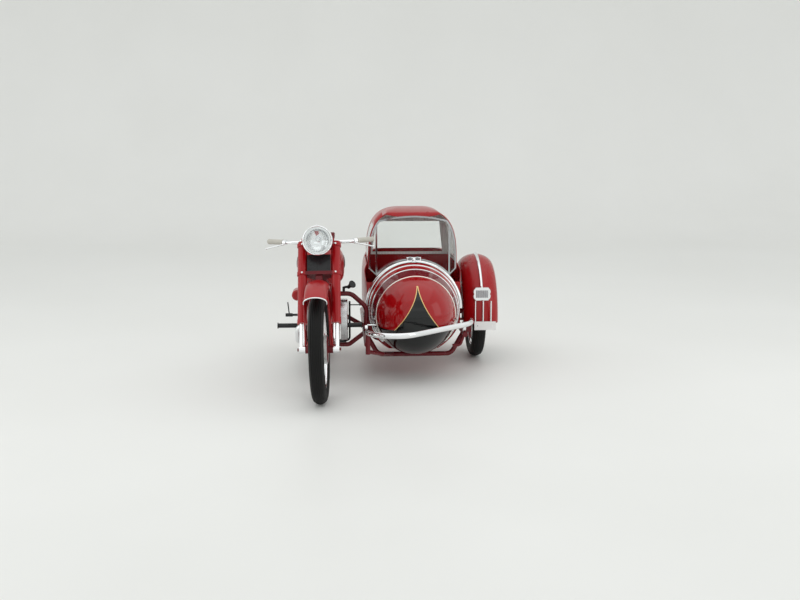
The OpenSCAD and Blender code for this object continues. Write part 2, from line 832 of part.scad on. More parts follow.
module centre_stand() {
  leg_x = 66;
  color(black) place() difference() {
    union() {
      bar([-88, stand_y, cradle_z], [88, stand_y, cradle_z], 14);
      for (s = [-1, 1]) {
        bar([s * leg_x, stand_y, cradle_z], [s * leg_x, stand_y + stand_leg, cradle_z], 10);
        bar([s * (leg_x - 12), stand_y + stand_leg, cradle_z],
            [s * (leg_x + 26), stand_y + stand_leg, cradle_z], 11);
      }
      bar([-leg_x, stand_y + 90, cradle_z], [leg_x, stand_y + 90, cradle_z], 8);
    }
    bar([-120, stand_y, cradle_z], [120, stand_y, cradle_z], 8.5);
  }
}

// ---- Sidecar chassis ----

module sidecar_chassis() {
  dip_z = floor_z - 20;
  post = 330;
  color(dark_paint) place() {
    bar([chassis_in, post - 8, chassis_z], [chassis_in, 1780, chassis_z], chassis_r);
    bar([chassis_out, 650, chassis_z], [chassis_out, 1775, chassis_z], chassis_r);
    for (y = [760, 1350])
      pipe([[chassis_in, y, chassis_z], [chassis_in + 85, y, dip_z],
            [chassis_out - 85, y, dip_z], [chassis_out, y, chassis_z]], 16, 60);
    bar([chassis_in + 6, post, 235], [chassis_in + 6, post, bumper_z - bumper_r - seat], 15);
    pipe([[chassis_in + 6, post, 252], [400, 480, 205], [480, 752, dip_z + 3]], 13, 80);
    pipe([[chassis_out, 705, chassis_z], [chassis_out - 28, 705, 222], [chassis_out - 80, 705, 214]],
         12, 26);
    // Stub axle with its block on the outer tube
    translate([chassis_out - 8, side_y - 28, chassis_z - 12]) cube([26, 56, 62]);
    bar([chassis_out, side_y, tyre_r], [track - hub_half - 2, side_y, tyre_r], 17);
    bar([chassis_out, side_y, tyre_r], [track + hub_half + 16, side_y, tyre_r], spindle_r);
    translate([track - plate_in - 10, side_y, tyre_r]) rotate([0, 90, 0])
      cylinder(h = 10, r = drum_r - drum_wall - 2);
    // Bracket that carries the bumper's outer end
    translate([chassis_out - 10, 742, chassis_z]) cube([62, 30, bumper_z - bumper_r - seat - chassis_z]);
    // Lower links to the motorcycle's frame
    pipe([[cradle_half + cradle_r + seat, 790, cradle_z], [185, 790, cradle_z],
          [chassis_in - 4, 790, chassis_z - 4]], 15, 40);
    pipe([[cradle_half + 3 + cradle_r + seat, pivot_y, pivot_z], [170, pivot_y, pivot_z],
          [chassis_in, pivot_y, chassis_z]], 15, 40);
  }
}

module sidecar_arch() {
  color(dark_paint) place()
    pipe([[12 + seat, arch_y, arch_z], [200, arch_y, arch_z], [304, arch_y, 480],
          [chassis_in + 2, arch_y, chassis_z + chassis_r + seat]], 16, 75);
}

module bumper() {
  left = [474, 352];
  sweep_r = 182;
  right_r = 250;
  corner = left + sweep_r * [cos(-45), sin(-45)];
  corner_end = corner + 484 * [cos(45), sin(45)];
  right = corner_end + right_r * [-sin(45), cos(45)];
  color(chrome) place() {
    translate([left.x, left.y, bumper_z]) rotate([0, 0, 188])
      rotate_extrude(angle = 127) translate([sweep_r, 0]) circle(bumper_r - 0.06);
    bar([corner.x - 1, corner.y - 1, bumper_z], [corner_end.x + 1, corner_end.y + 1, bumper_z], bumper_r);
    translate([right.x, right.y, bumper_z]) rotate([0, 0, -45])
      rotate_extrude(angle = 48) translate([right_r, 0]) circle(bumper_r - 0.06);
  }
}

module body_springs() {
  coil_r = 26;
  color(chrome) place() {
    for (x = [chassis_in, chassis_out]) {
      out = x < side_x ? 1 : -1;
      centre = [x + out * 4, 672, chassis_z + chassis_r + seat + coil_r];
      translate(centre) rotate([0, 90, 0]) rotate([0, 0, 110]) rotate_extrude(angle = 320)
        translate([coil_r - 5, -9]) square([5, 18]);
      difference() {
        bar([x + out * 10, centre.y, centre.z + coil_r - 3],
            [side_x - out * 240, centre.y, centre.z + coil_r - 3], 5);
        translate([side_x, 0, 0]) nose_solid(-seat);
      }
    }
    for (x = [side_x - 110, side_x + 110])
      translate([x, 1350, floor_z - 4 + seat]) cylinder(h = 4 - seat * 2, r = 18);
  }
}

// ---- Sidecar body ----

function nose_r(s, d) =
  let(u = min(1, s / (nose_len - d)))
  (275 - d) * pow(1 - pow(u, 3), 1 / 2.2)
    + (s < 300 ? (hoop_r - 4 - 275) * pow(1 - s / 300, 2) : 0);

module nose_solid(d) {
  steps = 18;
  last = nose_len - d;
  translate([0, hoop_y - 4, hoop_z]) rotate([90 + nose_tilt, 0, 0]) rotate_extrude($fn = 72)
    polygon(concat([[0, -d * 10], [nose_r(0, d), -d * 10]],
      [for (i = [0:steps]) let(s = last * sin(i * 90 / steps)) [max(0, nose_r(s, d)), s]]));
}

module sidecar_nose() {
  color(paint) at_body() difference() {
    intersection() {
      nose_solid(0);
      translate([-400, 0, floor_z]) cube([800, hoop_y - 4, 800]);
    }
    intersection() {
      nose_solid(body_wall);
      translate([-400, 0, floor_z + body_wall]) cube([800, 1200, 800]);
    }
  }
}

function plan_half(y, d) =
  y < 1150 ? hoop_r + (body_half - hoop_r) * sin(90 * (y - tub_front) / (1150 - tub_front)) - d
  : y < 1400 ? body_half - d
  : (body_half - d) * sqrt(max(0, 1 - pow((y - 1400) / (tail_y - d - 1400), 2)));

module body_section(d) {
  polygon(concat(
    [for (t = [0:5:180]) oval(body_half - d, deck_z - wide_z - d, 5.5, t) + [0, wide_z]],
    [for (t = [185:5:355]) let(p = (body_half - d) * [cos(t), sin(t)])
      if (p.y + wide_z > floor_z + d + 4) p + [0, wide_z]
      else [p.x < 0 ? -sqrt(pow(body_half - d, 2) - pow(wide_z - floor_z - d, 2))
                    : sqrt(pow(body_half - d, 2) - pow(wide_z - floor_z - d, 2)), floor_z + d]]));
}

module body_solid(d) {
  back = tail_y - d;
  ys = concat([tub_front + d], [for (i = [0:6]) 880 + i * 45],
              [for (i = [0:12]) 1400 + (back - 1400) * sin(i * 7.5)]);
  intersection() {
    slab_y(tub_front, tail_y) body_section(d);
    linear_extrude(1200) polygon(concat([for (y = ys) [plan_half(y, d), y]],
      [for (i = [len(ys) - 1:-1:0]) [-plan_half(ys[i], d), ys[i]]]));
    slab_x(1000) polygon(concat([[tub_front, floor_z + d], [1500, floor_z + d]],
      [for (i = [0:12]) [1500 + (back - 1500) * sin(i * 7.5), 520 - (350 - d) * cos(i * 7.5)]],
      [for (i = [12:-1:0]) [1500 + (back - 1500) * sin(i * 7.5), 520 + (280 - d) * cos(i * 7.5)]],
      [[tub_front, deck_z - d]]));
  }
}

module sidecar_tub() {
  shelf_y = cushion_y - 5;
  color(paint) at_body() difference() {
    union() {
      difference() {
        intersection() {
          body_solid(0);
          translate([-400, 0, 0]) cube([800, rear_cut - seat, 1000]);
        }
        body_solid(body_wall);
      }
      intersection() {
        body_solid(body_wall / 2);
        union() {
          translate([-400, shelf_y, shelf_z]) cube([800, rear_cut - seat - shelf_y, 10]);
          translate([-400, shelf_y, 0]) cube([800, 10, shelf_z + 5]);
        }
      }
    }
    // Cockpit opening with rails that fall away towards the cowl
    slab_x(900) polygon([[tub_front + 6, 1000], [tub_front + 6, rail_z - 108],
      [900, rail_z - 108], [1030, rail_z], [rear_cut + 10, rail_z], [rear_cut + 10, 1000]]);
    // Way through the front wall into the nose
    intersection() {
      slab_y(tub_front - 10, tub_front + 20) translate([0, hoop_z]) circle(hoop_r - 10);
      translate([-400, 0, floor_z + body_wall]) cube([800, 2000, 800]);
    }
    slab_y(tub_front - 10, tub_front + 10) difference() {
      translate([-400, rail_z - 108]) square([800, 400]);
      translate([0, hoop_z]) circle(hoop_r);
    }
  }
}

module sidecar_tail() {
  color(paint) at_body() difference() {
    intersection() {
      body_solid(0);
      translate([-400, rear_cut, 0]) cube([800, 1000, 1000]);
    }
    intersection() {
      body_solid(body_wall);
      translate([-400, rear_cut + body_wall, 0]) cube([800, 1000, 1000]);
    }
  }
}

module cowl_hoop() {
  color(chrome) at_body() {
    difference() {
      translate([0, hoop_y, hoop_z]) rotate([90, 0, 0]) rotate_extrude(angle = 180, $fn = 96)
        difference() {
          translate([hoop_r, 0]) circle(hoop_bar);
          translate([0, -20]) square([hoop_r - 3, 40]);
        }
      nose_solid(-seat);
      translate([-400, tub_front - seat, 0]) cube([800, 100, 1000]);
    }
    for (x = [-44, 0, 44]) translate([x, hoop_y, hoop_z + hoop_r])
      cylinder(h = hinge_z - hoop_z - hoop_r, r = 5);
    bar([-50, hinge_y, hinge_z], [50, hinge_y, hinge_z], 4);
  }
}

module seat_cushion() {
  wide = 500;
  color(leather) at_body() translate([-wide / 2, cushion_y, shelf_z + 10 + seat]) difference() {
    cube([wide, back_y - 49 - cushion_y, 125]);
    for (x = [0, wide]) translate([x, 0, -1]) rotate([0, 0, 45])
      cube([50, 50, 300], center = true);
  }
}

module seat_back() {
  back = 268;
  color(leather) at_body() translate([0, back_y, shelf_z + 10 + seat]) rotate([-12, 0, 0])
    translate([0, 0, 11]) slab_y(-50, 50) {
      intersection() {
        translate([-back, 0]) square([back * 2, 410]);
        translate([0, 60]) circle(355);
      }
    }
}

// ---- Sidecar mudguard, lamp and plate ----

module sidecar_mudguard() {
  color(paint) at_side_wheel() guard(pod_r, pod_half, 88, 90, 3, 80, 194);
  color(paint) place() for (y = [side_y - 305, side_y + 290])
    translate([chassis_out - 14, y - 18, chassis_z + chassis_r + seat])
      cube([track - pod_half - chassis_out + 15.5, 36, 14]);
}

module sidecar_lamp() {
  color(chrome) place() difference() {
    union() {
      translate([0, 0, 0]) slab_y(side_y - pod_r + 14, side_y - pod_r + 74)
        translate([track, 520]) {
          square([92, 92], center = true);
          for (x = [-30, 30], z = [-16, 16]) translate([x, z]) circle(30);
        }
      translate([track, side_y - pod_r + 44, 566]) sphere(8);
    }
    at_pod_zero() rotate_extrude($fn = 96) {
      polygon(concat([[0, pod_half + seat]], [for (t = [0:15:180])
        [pod_r - 88 + (88 + seat) * sin(t), (pod_half + seat) * cos(t)]], [[0, -pod_half - seat]]));
    }
  }
}

module at_pod_zero() {
  translate([track, side_y, tyre_r]) rotate([0, 90, 0]) children();
}

module number_plate() {
  y = side_y - pod_r - 6.6;
  color("white") place() difference() {
    union() {
      translate([track - 56, y - 9, 267]) cube([152, 3, 61]);
      for (x = [-50, 5, 60]) bar([track + x, y, 280], [track + x, y, 473.7], 6.2);
    }
    for (x = [-34, 74]) bar([track + x, y - 20, 297], [track + x, y + 4, 297], 3);
  }
}

// ---- Canopy ----

module canopy_section(d) {
  polygon(concat([for (t = [0:5:180])
      oval(canopy_half - d, roof_z - rail_z - d, 3, t) + [0, rail_z]],
    [[-canopy_half + d, rail_z - 120], [canopy_half - d, rail_z - 120]]));
}

module canopy_solid(d) {
  intersection() {
    slab_y(canopy_y - canopy_long, canopy_y + canopy_long) canopy_section(d);
    slab_x(1000) polygon(concat([for (t = [0:5:180])
        oval(canopy_long - d, roof_z - rail_z - d, 3.2, t) + [canopy_y, rail_z]],
      [[canopy_y - canopy_long + d, rail_z - 120], [canopy_y + canopy_long - d, rail_z - 120]]));
  }
}

// Everything above the canopy's lower edge, which follows the cockpit's rails.
module above_rail() {
  slab_x(1000) polygon([[700, 1300], [700, rail_z - 88], [900, rail_z - 88],
    [1025, canopy_low], [1700, canopy_low], [1700, 1300]]);
}

module behind_screen(r) {
  translate([0, screen_y + screen_r, 0]) cylinder(h = 1300, r = r, $fn = 144);
}

module side_opening(d) {
  polygon([[1010 + d, canopy_low + 26 + d], [1460 - d, canopy_low + 26 + d],
    [1460 - d, canopy_low + 130], [1390 - d * 0.7, canopy_low + 258 - d],
    [1010 + d, canopy_low + 258 - d]]);
}

// The rear window's opening seen from behind, pulled in by d.
module rear_opening(d) {
  polygon([[-262 + d, canopy_low + 20 + d], [262 - d, canopy_low + 20 + d],
    [235 - d, canopy_low + 250 - d], [-235 + d, canopy_low + 250 - d]]);
}

module canopy_roof() {
  color(paint) at_body() difference() {
    intersection() {
      difference() {
        canopy_solid(0);
        canopy_solid(canopy_wall);
      }
      behind_screen(shell_r);
      above_rail();
    }
    slab_x(1000) side_opening(0);
    slab_y(1480, 1700) rear_opening(0);
  }
}

// The windscreen's outline seen from ahead, pulled in by d.
module screen_outline(d) {
  difference() {
    intersection() {
      frame_section(d);
      translate([-canopy_half, hoop_z]) square([canopy_half * 2, 800]);
    }
    translate([0, hoop_z]) circle(hoop_r + 9 + d);
    for (s = [-1, 1]) polygon([[s * 235, 600], [s * 400, 600], [s * 400, rail_z - 8 + d],
      [s * 300, rail_z - 30 + d], [s * 235, rail_z - 88 + d]]);
  }
}

module frame_section(d) {
  crown_r = 812;
  intersection() {
    polygon(concat([for (t = [0:5:180])
        oval(canopy_half - 6 - d, roof_z - rail_z - 6 - d, 3, t) + [0, rail_z]],
      [[-canopy_half + 6 + d, rail_z - 120], [canopy_half - 6 - d, rail_z - 120]]));
    translate([0, roof_z - 45 - crown_r]) circle(crown_r - d, $fn = 180);
  }
}

post_x = 252;

// The panes' outlines: one in the middle and one in each front corner.
module pane_outline(d) {
  difference() {
    screen_outline(frame_bar + d);
    for (s = [-1, 1]) translate([s * post_x - frame_bar / 2 - d, 0])
      square([frame_bar + 2 * d, 1500]);
  }
}

module screen_skin(outer, inner) {
  difference() {
    behind_screen(outer);
    behind_screen(inner);
  }
}

module canopy_frame() {
  color(chrome) at_body() {
    difference() {
      intersection() {
        screen_skin(screen_r, screen_r - frame_t);
        slab_y(800, 1100) screen_outline(0);
      }
      slab_y(700, 1200) pane_outline(0);
    }
    for (s = [-1, 1]) difference() {
      union() {
        bar([s * 16, hinge_y, hinge_z], [s * 32, hinge_y, hinge_z], 8);
        translate([s * 24 - 8, hinge_y, hinge_z - 12]) cube([16, screen_y - hinge_y + 3.5, 10]);
      }
      bar([-60, hinge_y, hinge_z], [60, hinge_y, hinge_z], 4.3);
    }
  }
}

module windscreen() {
  mid = screen_r - frame_t / 2;
  color("lightblue", 0.4) at_body() intersection() {
    screen_skin(mid + pane / 2, mid - pane / 2);
    slab_y(800, 1100) pane_outline(seat);
  }
}

module side_windows() {
  color("lightblue", 0.4) at_body() intersection() {
    difference() {
      canopy_solid((canopy_wall - pane) / 2);
      canopy_solid((canopy_wall + pane) / 2);
    }
    union() {
      slab_x(1000) side_opening(seat);
      slab_y(1480, 1700) rear_opening(seat);
    }
  }
}

front_tyre();
front_rim();
front_hub();
rear_tyre();
rear_rim();
rear_hub();
sidecar_tyre();
sidecar_rim();
sidecar_hub();
fork_tubes();
fork_stanchions();
fork_yokes();
front_axle();
front_mudguard();
headlamp();
headlamp_glass();
instrument();
fork_panel();
handlebar();
handlebar_grips();
hand_levers();
main_frame();
rear_frame();
crankcase();
cylinder_barrel();  // cylinder
flywheel();
exhaust();
carburettor();
fuel_tank();
saddle();
pillion_pad();
rear_mudguard();
rear_axle();
drive_chain();
tool_canister();
foot_controls();
horn();
centre_stand();
sidecar_chassis();
sidecar_arch();
bumper();
body_springs();
sidecar_nose();
sidecar_tub();
sidecar_tail();
cowl_hoop();
seat_cushion();
seat_back();
sidecar_mudguard();
sidecar_lamp();
number_plate();
canopy_roof();
canopy_frame();
windscreen();
side_windows();
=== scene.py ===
import json
import math

import bpy
from mathutils import Matrix, Vector

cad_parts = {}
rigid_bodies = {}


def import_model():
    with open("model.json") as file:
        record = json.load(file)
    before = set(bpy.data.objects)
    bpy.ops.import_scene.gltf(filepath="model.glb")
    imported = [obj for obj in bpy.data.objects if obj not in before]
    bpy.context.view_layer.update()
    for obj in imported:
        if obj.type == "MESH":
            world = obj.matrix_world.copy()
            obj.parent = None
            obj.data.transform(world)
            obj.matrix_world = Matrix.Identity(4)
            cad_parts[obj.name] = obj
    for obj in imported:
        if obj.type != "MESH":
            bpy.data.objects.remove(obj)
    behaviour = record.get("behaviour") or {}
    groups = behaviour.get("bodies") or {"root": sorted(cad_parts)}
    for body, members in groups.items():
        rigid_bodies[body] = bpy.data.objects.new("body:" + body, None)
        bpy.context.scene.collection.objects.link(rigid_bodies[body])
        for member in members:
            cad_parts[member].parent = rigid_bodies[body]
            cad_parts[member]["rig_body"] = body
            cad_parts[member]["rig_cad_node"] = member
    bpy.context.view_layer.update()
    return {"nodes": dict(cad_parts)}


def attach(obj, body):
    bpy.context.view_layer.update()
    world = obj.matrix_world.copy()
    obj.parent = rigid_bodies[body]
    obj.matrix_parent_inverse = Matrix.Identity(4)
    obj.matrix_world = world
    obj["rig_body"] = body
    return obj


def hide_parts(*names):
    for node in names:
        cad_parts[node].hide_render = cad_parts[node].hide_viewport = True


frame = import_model()


# ---- Studio ----
# A white studio with a seamless paper sweep: the floor runs back and curves up into the wall.
# It is lit by one wide soft box overhead, two upright ones beside the machine and one in front.


def deselect():
    if bpy.context.object and bpy.context.object.mode != "OBJECT":
        bpy.ops.object.mode_set(mode="OBJECT")
    bpy.ops.object.select_all(action="DESELECT")


def pick(piece):
    deselect()
    piece.select_set(True)
    bpy.context.view_layer.objects.active = piece


def set_node(material, kind, **values):
    node = material.node_tree.nodes.new(kind)
    for name, value in values.items():
        setattr(node, name, value)
    return node


def finish_of(name, dark, light, rough, metallic=0.0, scale=12.0, bump=0.0, bump_scale=400.0, **sockets):
    """A finish whose colour and roughness drift between two values, with an optional fine bump."""
    material = bpy.data.materials.new(name)
    material.use_nodes = True
    links = material.node_tree.links
    shader = material.node_tree.nodes["Principled BSDF"]
    shader.inputs["Metallic"].default_value = metallic
    for socket, value in sockets.items():
        shader.inputs[socket.replace("_", " ")].default_value = value
    place = set_node(material, "ShaderNodeTexCoord")
    drift = set_node(material, "ShaderNodeTexNoise")
    drift.inputs["Scale"].default_value = scale
    drift.inputs["Detail"].default_value = 5.0
    links.new(place.outputs["Object"], drift.inputs["Vector"])
    tone = set_node(material, "ShaderNodeMix", data_type="RGBA")
    tone.inputs["A"].default_value = (*dark, 1)
    tone.inputs["B"].default_value = (*light, 1)
    links.new(drift.outputs["Fac"], tone.inputs["Factor"])
    links.new(tone.outputs["Result"], shader.inputs["Base Color"])
    gloss = set_node(material, "ShaderNodeMapRange")
    gloss.inputs["From Min"].default_value = 0.3
    gloss.inputs["From Max"].default_value = 0.7
    gloss.inputs["To Min"].default_value = rough[0]
    gloss.inputs["To Max"].default_value = rough[1]
    links.new(drift.outputs["Fac"], gloss.inputs["Value"])
    links.new(gloss.outputs["Result"], shader.inputs["Roughness"])
    if bump:
        fine = set_node(material, "ShaderNodeTexNoise")
        fine.inputs["Scale"].default_value = bump_scale
        fine.inputs["Detail"].default_value = 3.0
        links.new(place.outputs["Object"], fine.inputs["Vector"])
        relief = set_node(material, "ShaderNodeBump")
        relief.inputs["Strength"].default_value = bump
        relief.inputs["Distance"].default_value = 0.001
        links.new(fine.outputs["Fac"], relief.inputs["Height"])
        links.new(relief.outputs["Normal"], shader.inputs["Normal"])
    return material


def dress(piece, material):
    piece.data.materials.clear()
    piece.data.materials.append(material)


studio_white = finish_of("studio_white", (0.77, 0.77, 0.75), (0.83, 0.83, 0.815), (0.42, 0.55), scale=0.6)

deselect()
bpy.ops.mesh.primitive_plane_add(size=40, location=(0, -11, 0))
sweep = bpy.context.object
sweep.name = "studio_sweep"
bpy.ops.object.transform_apply(location=True)
bpy.ops.object.mode_set(mode="EDIT")
bpy.ops.mesh.select_all(action="DESELECT")
bpy.ops.object.mode_set(mode="OBJECT")
for edge in sweep.data.edges:
    edge.select = all(sweep.data.vertices[i].co.y > 8 for i in edge.vertices)
for vertex in sweep.data.vertices:
    vertex.select = vertex.co.y > 8
bpy.ops.object.mode_set(mode="EDIT")
sweep_radius = 4.0
for step in range(16):
    low, high = step * math.pi / 32, (step + 1) * math.pi / 32
    back, up = math.sin(high) - math.sin(low), math.cos(low) - math.cos(high)
    move = (0, sweep_radius * back, sweep_radius * up)
    bpy.ops.mesh.extrude_region_move(TRANSFORM_OT_translate={"value": move})
bpy.ops.mesh.extrude_region_move(TRANSFORM_OT_translate={"value": (0, 0, 10)})
bpy.ops.object.mode_set(mode="OBJECT")
bpy.ops.object.shade_smooth()
dress(sweep, studio_white)

world = bpy.data.worlds.new("studio_air")
bpy.context.scene.world = world
world.use_nodes = True
world.node_tree.nodes["Background"].inputs["Color"].default_value = (0.93, 0.95, 0.94, 1)
world.node_tree.nodes["Background"].inputs["Strength"].default_value = 0.98

for name, place, turn, size, power in [
    ("overhead_box", (0.2, -0.6, 5.2), (0, 0, 0), (7.0, 6.0), 48),
    ("left_box", (-5.2, -2.2, 2.4), (math.radians(78), 0, math.radians(-70)), (3.0, 3.6), 30),
    ("right_box", (5.6, -2.6, 2.6), (math.radians(76), 0, math.radians(66)), (3.0, 3.6), 28),
    ("front_box", (0.6, -8.6, 4.2), (math.radians(62), 0, 0), (6.0, 2.0), 10),
]:
    bpy.ops.object.light_add(type="AREA", location=place, rotation=turn)
    lamp = bpy.context.object
    lamp.name = name
    lamp.data.shape = "RECTANGLE"
    lamp.data.size, lamp.data.size_y = size
    lamp.data.energy = power

# The camera stands well in front and a little to the motorcycle's side, above seat height.
bpy.ops.object.camera_add(
    location=(-0.3265, -7.3557, 1.596), rotation=(math.radians(90 - 8.41), 0, math.radians(-3.2))
)
camera = bpy.context.object
camera.data.sensor_width = 36.0
camera.data.lens = 48.7
bpy.context.scene.camera = camera
bpy.context.scene.view_settings.view_transform = "Standard"
bpy.context.scene.view_settings.exposure = 0.0


# ---- Tyres ----
# Vulcanised rubber tyres of 3.50 inch section on 19 inch rims. The front one has plain ribs
# round it, and the driven wheel and the sidecar's have blocks cut in the same tread.

FRONT_AXLE = Vector((-0.452, -0.863, 0.334))
REAR_AXLE = Vector((-0.452, 0.612, 0.334))
SIDE_AXLE = Vector((0.675, 0.580, 0.334))
RAKE, OFFSET, STEER_REST = math.radians(27), 0.067, math.radians(-3)

# From upright places round the front wheel to where the turned steering holds them.
fork_turn = (
    Matrix.Translation(FRONT_AXLE)
    @ Matrix.Rotation(-RAKE, 4, "X")
    @ Matrix.Translation((0, OFFSET, 0))
    @ Matrix.Rotation(STEER_REST, 4, "Z")
    @ Matrix.Translation((0, -OFFSET, 0))
)
steering_turn = fork_turn @ Matrix.Rotation(RAKE, 4, "X") @ Matrix.Translation((0, 0, -0.334))
wheel_turn = {
    "front": steering_turn @ Matrix.Translation((0, 0, 0.334)),
    "rear": Matrix.Translation(REAR_AXLE),
    "sidecar": Matrix.Translation(SIDE_AXLE),
}


def put(piece, matrix):
    """Moves a piece's mesh to its place, with the object left at the origin."""
    pick(piece)
    piece.matrix_world = matrix @ piece.matrix_world
    bpy.ops.object.transform_apply(location=True, rotation=True, scale=True)
    return piece


def drawn_line(name, points):
    """A chain of edges drawn point by point."""
    deselect()
    bpy.ops.mesh.primitive_plane_add(size=0.001, location=(0, 0, 0))
    piece = bpy.context.object
    piece.name = name
    bpy.ops.object.mode_set(mode="EDIT")
    bpy.ops.mesh.select_all(action="SELECT")
    bpy.ops.mesh.merge(type="CENTER")
    bpy.ops.transform.translate(value=points[0])
    for start, end in zip(points, points[1:]):
        bpy.ops.mesh.extrude_region_move(TRANSFORM_OT_translate={"value": Vector(end) - Vector(start)})
    bpy.ops.object.mode_set(mode="OBJECT")
    return piece


def tidy_normals(piece, merge=0.00002, angle=35):
    pick(piece)
    bpy.ops.object.mode_set(mode="EDIT")
    bpy.ops.mesh.select_all(action="SELECT")
    bpy.ops.mesh.remove_doubles(threshold=merge)
    bpy.ops.mesh.normals_make_consistent(inside=False)
    bpy.ops.object.mode_set(mode="OBJECT")
    bpy.ops.object.shade_smooth_by_angle(angle=math.radians(angle))
    return piece


def turned(name, profile, axis="X", steps=96, angle=360.0, closed=True, smooth=35):
    """A piece turned on a lathe: profile is (radius, along the axis) pairs."""
    line = [(z, 0, r) if axis == "X" else (0, z, r) if axis == "Y" else (r, 0, z) for r, z in profile]
    if closed:
        line = line + [line[0]]
    piece = drawn_line(name, line)
    direction = {"X": (1, 0, 0), "Y": (0, 1, 0), "Z": (0, 0, 1)}[axis]
    bpy.ops.object.mode_set(mode="EDIT")
    bpy.ops.mesh.select_all(action="SELECT")
    bpy.ops.mesh.spin(steps=steps, angle=math.radians(angle), center=(0, 0, 0), axis=direction)
    bpy.ops.object.mode_set(mode="OBJECT")
    return tidy_normals(piece, angle=smooth)


def tyre_profile(tread_drop):
    """The outside of the tyre from one bead round to the other, then the inside back."""
    section, middle = 0.046, 0.288
    side = []
    for step in range(33):
        turn = math.radians(-128 + step * 8)
        radius, along = middle + section * math.cos(turn), section * math.sin(turn)
        side.append((radius, along))
    crown = [i for i, (r, a) in enumerate(side) if abs(a) < 0.034 and r > middle]
    before, after = side[: crown[0]], side[crown[-1] + 1 :]
    tread = []
    for groove in (-0.0275, -0.0165, -0.0055, 0.0055, 0.0165, 0.0275):
        for shift, depth in ((-0.0022, 0), (-0.0016, 0.0042), (0.0016, 0.0042), (0.0022, 0)):
            along = groove + shift
            radius = middle + math.sqrt(section**2 - along**2) - depth - tread_drop
            tread.append((radius, along))
    bead = [(0.2423, 0.0275), (0.2423, -0.0275)]
    return before + tread + after + bead


tyre_rubber = finish_of(
    "tyre_rubber", (0.005, 0.005, 0.005), (0.013, 0.0125, 0.012), (0.6, 0.8), scale=9, bump=0.35,
    bump_scale=900,
    Specular_IOR_Level=0.25,
)

for wheel, body in (("front", "front_wheel"), ("rear", "rear_wheel"), ("sidecar", "sidecar_wheel")):
    blocks = wheel != "front"
    tyre = turned(f"{wheel}_tyre_cover", tyre_profile(0.0028 if blocks else 0.0), steps=144, smooth=50)
    if blocks:
        for face in tyre.data.polygons:
            middle = face.center
            radius = math.hypot(middle.y, middle.z)
            step = int((math.atan2(middle.z, middle.y) + math.pi) / (2 * math.pi) * 144)
            row = int((middle.x + 0.055) / 0.011)
            on_tread = radius > 0.31 and abs(middle.x) < 0.033 and face.normal.x**2 < 0.62
            face.select = on_tread and (step + row) % 3 != 0
            rib = abs((middle.x + 0.0055 + 0.055) % 0.011 - 0.0055)
            if rib > 0.0034:
                face.select = False
        bpy.ops.object.mode_set(mode="EDIT")
        bpy.ops.mesh.select_mode(type="FACE")
        bpy.ops.mesh.extrude_region_shrink_fatten(TRANSFORM_OT_shrink_fatten={"value": 0.0026})
        bpy.ops.mesh.select_mode(type="VERT")
        bpy.ops.object.mode_set(mode="OBJECT")
    dress(tyre, tyre_rubber)
    put(tyre, wheel_turn[wheel])
    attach(tyre, body)
    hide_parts(f"{wheel}_tyre")


# ---- Rims, hubs and spokes ----
# Rims rolled from steel strip with a dropped centre and chromed, on alloy hubs with a brake
# drum. The steel spokes hook into the hub and are drawn tight by a nipple at the rim.

chrome = finish_of(
    "chrome", (0.80, 0.81, 0.82), (0.92, 0.93, 0.94), (0.05, 0.14), metallic=1.0, scale=22, bump=0.02,
    bump_scale=60
)
alloy = finish_of(
    "cast_alloy", (0.50, 0.50, 0.49), (0.66, 0.66, 0.65), (0.28, 0.46), metallic=1.0, scale=40,
    bump=0.25, bump_scale=700
)
steel = finish_of(
    "bright_steel", (0.55, 0.56, 0.57), (0.72, 0.73, 0.74), (0.16, 0.3), metallic=1.0, scale=60,
    bump=0.06, bump_scale=500
)


def smoothed(node, name, body, material, angle=32):
    """A merged and smooth-shaded copy of a frame piece, shown in its place."""
    pick(frame["nodes"][node])
    bpy.ops.object.duplicate()
    piece = bpy.context.object
    piece.name = name
    piece.parent = None
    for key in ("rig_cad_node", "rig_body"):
        if key in piece:
            del piece[key]
    bpy.ops.mesh.customdata_custom_splitnormals_clear()
    bpy.ops.object.mode_set(mode="EDIT")
    bpy.ops.mesh.select_all(action="SELECT")
    bpy.ops.mesh.remove_doubles(threshold=0.00001)
    bpy.ops.object.mode_set(mode="OBJECT")
    bpy.ops.object.shade_smooth_by_angle(angle=math.radians(angle))
    dress(piece, material)
    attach(piece, body)
    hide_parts(node)
    return piece


rim_profile = [
    (0.2280, -0.014), (0.2280, 0.014), (0.2290, 0.018), (0.2355, 0.0225), (0.2375, 0.0265),
    (0.2385, 0.0325),
    (0.2440, 0.0335), (0.2490, 0.0332), (0.2500, 0.0320), (0.2490, 0.0300), (0.2440, 0.0292),
    (0.2418, 0.0285),
    (0.2415, -0.0285), (0.2440, -0.0292), (0.2490, -0.0300), (0.2500, -0.0320), (0.2490, -0.0332),
    (0.2440, -0.0335), (0.2385, -0.0325), (0.2375, -0.0265), (0.2355, -0.0225), (0.2290, -0.018),
]
for wheel, body in (("front", "front_wheel"), ("rear", "rear_wheel"), ("sidecar", "sidecar_wheel")):
    rim = turned(f"{wheel}_rim_rolled", rim_profile, steps=120, smooth=50)
    dress(rim, chrome)
    put(rim, wheel_turn[wheel])
    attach(rim, body)
    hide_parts(f"{wheel}_rim")
    smoothed(f"{wheel}_hub", f"{wheel}_hub_and_spokes", body, alloy)


# ---- Fork, yokes and front brake plate ----
# Upside-down fork: fat steel tubes painted red, clamped in two yokes with a dark red web. Slim
# chromed sliding tubes below them carry the wheel spindle.

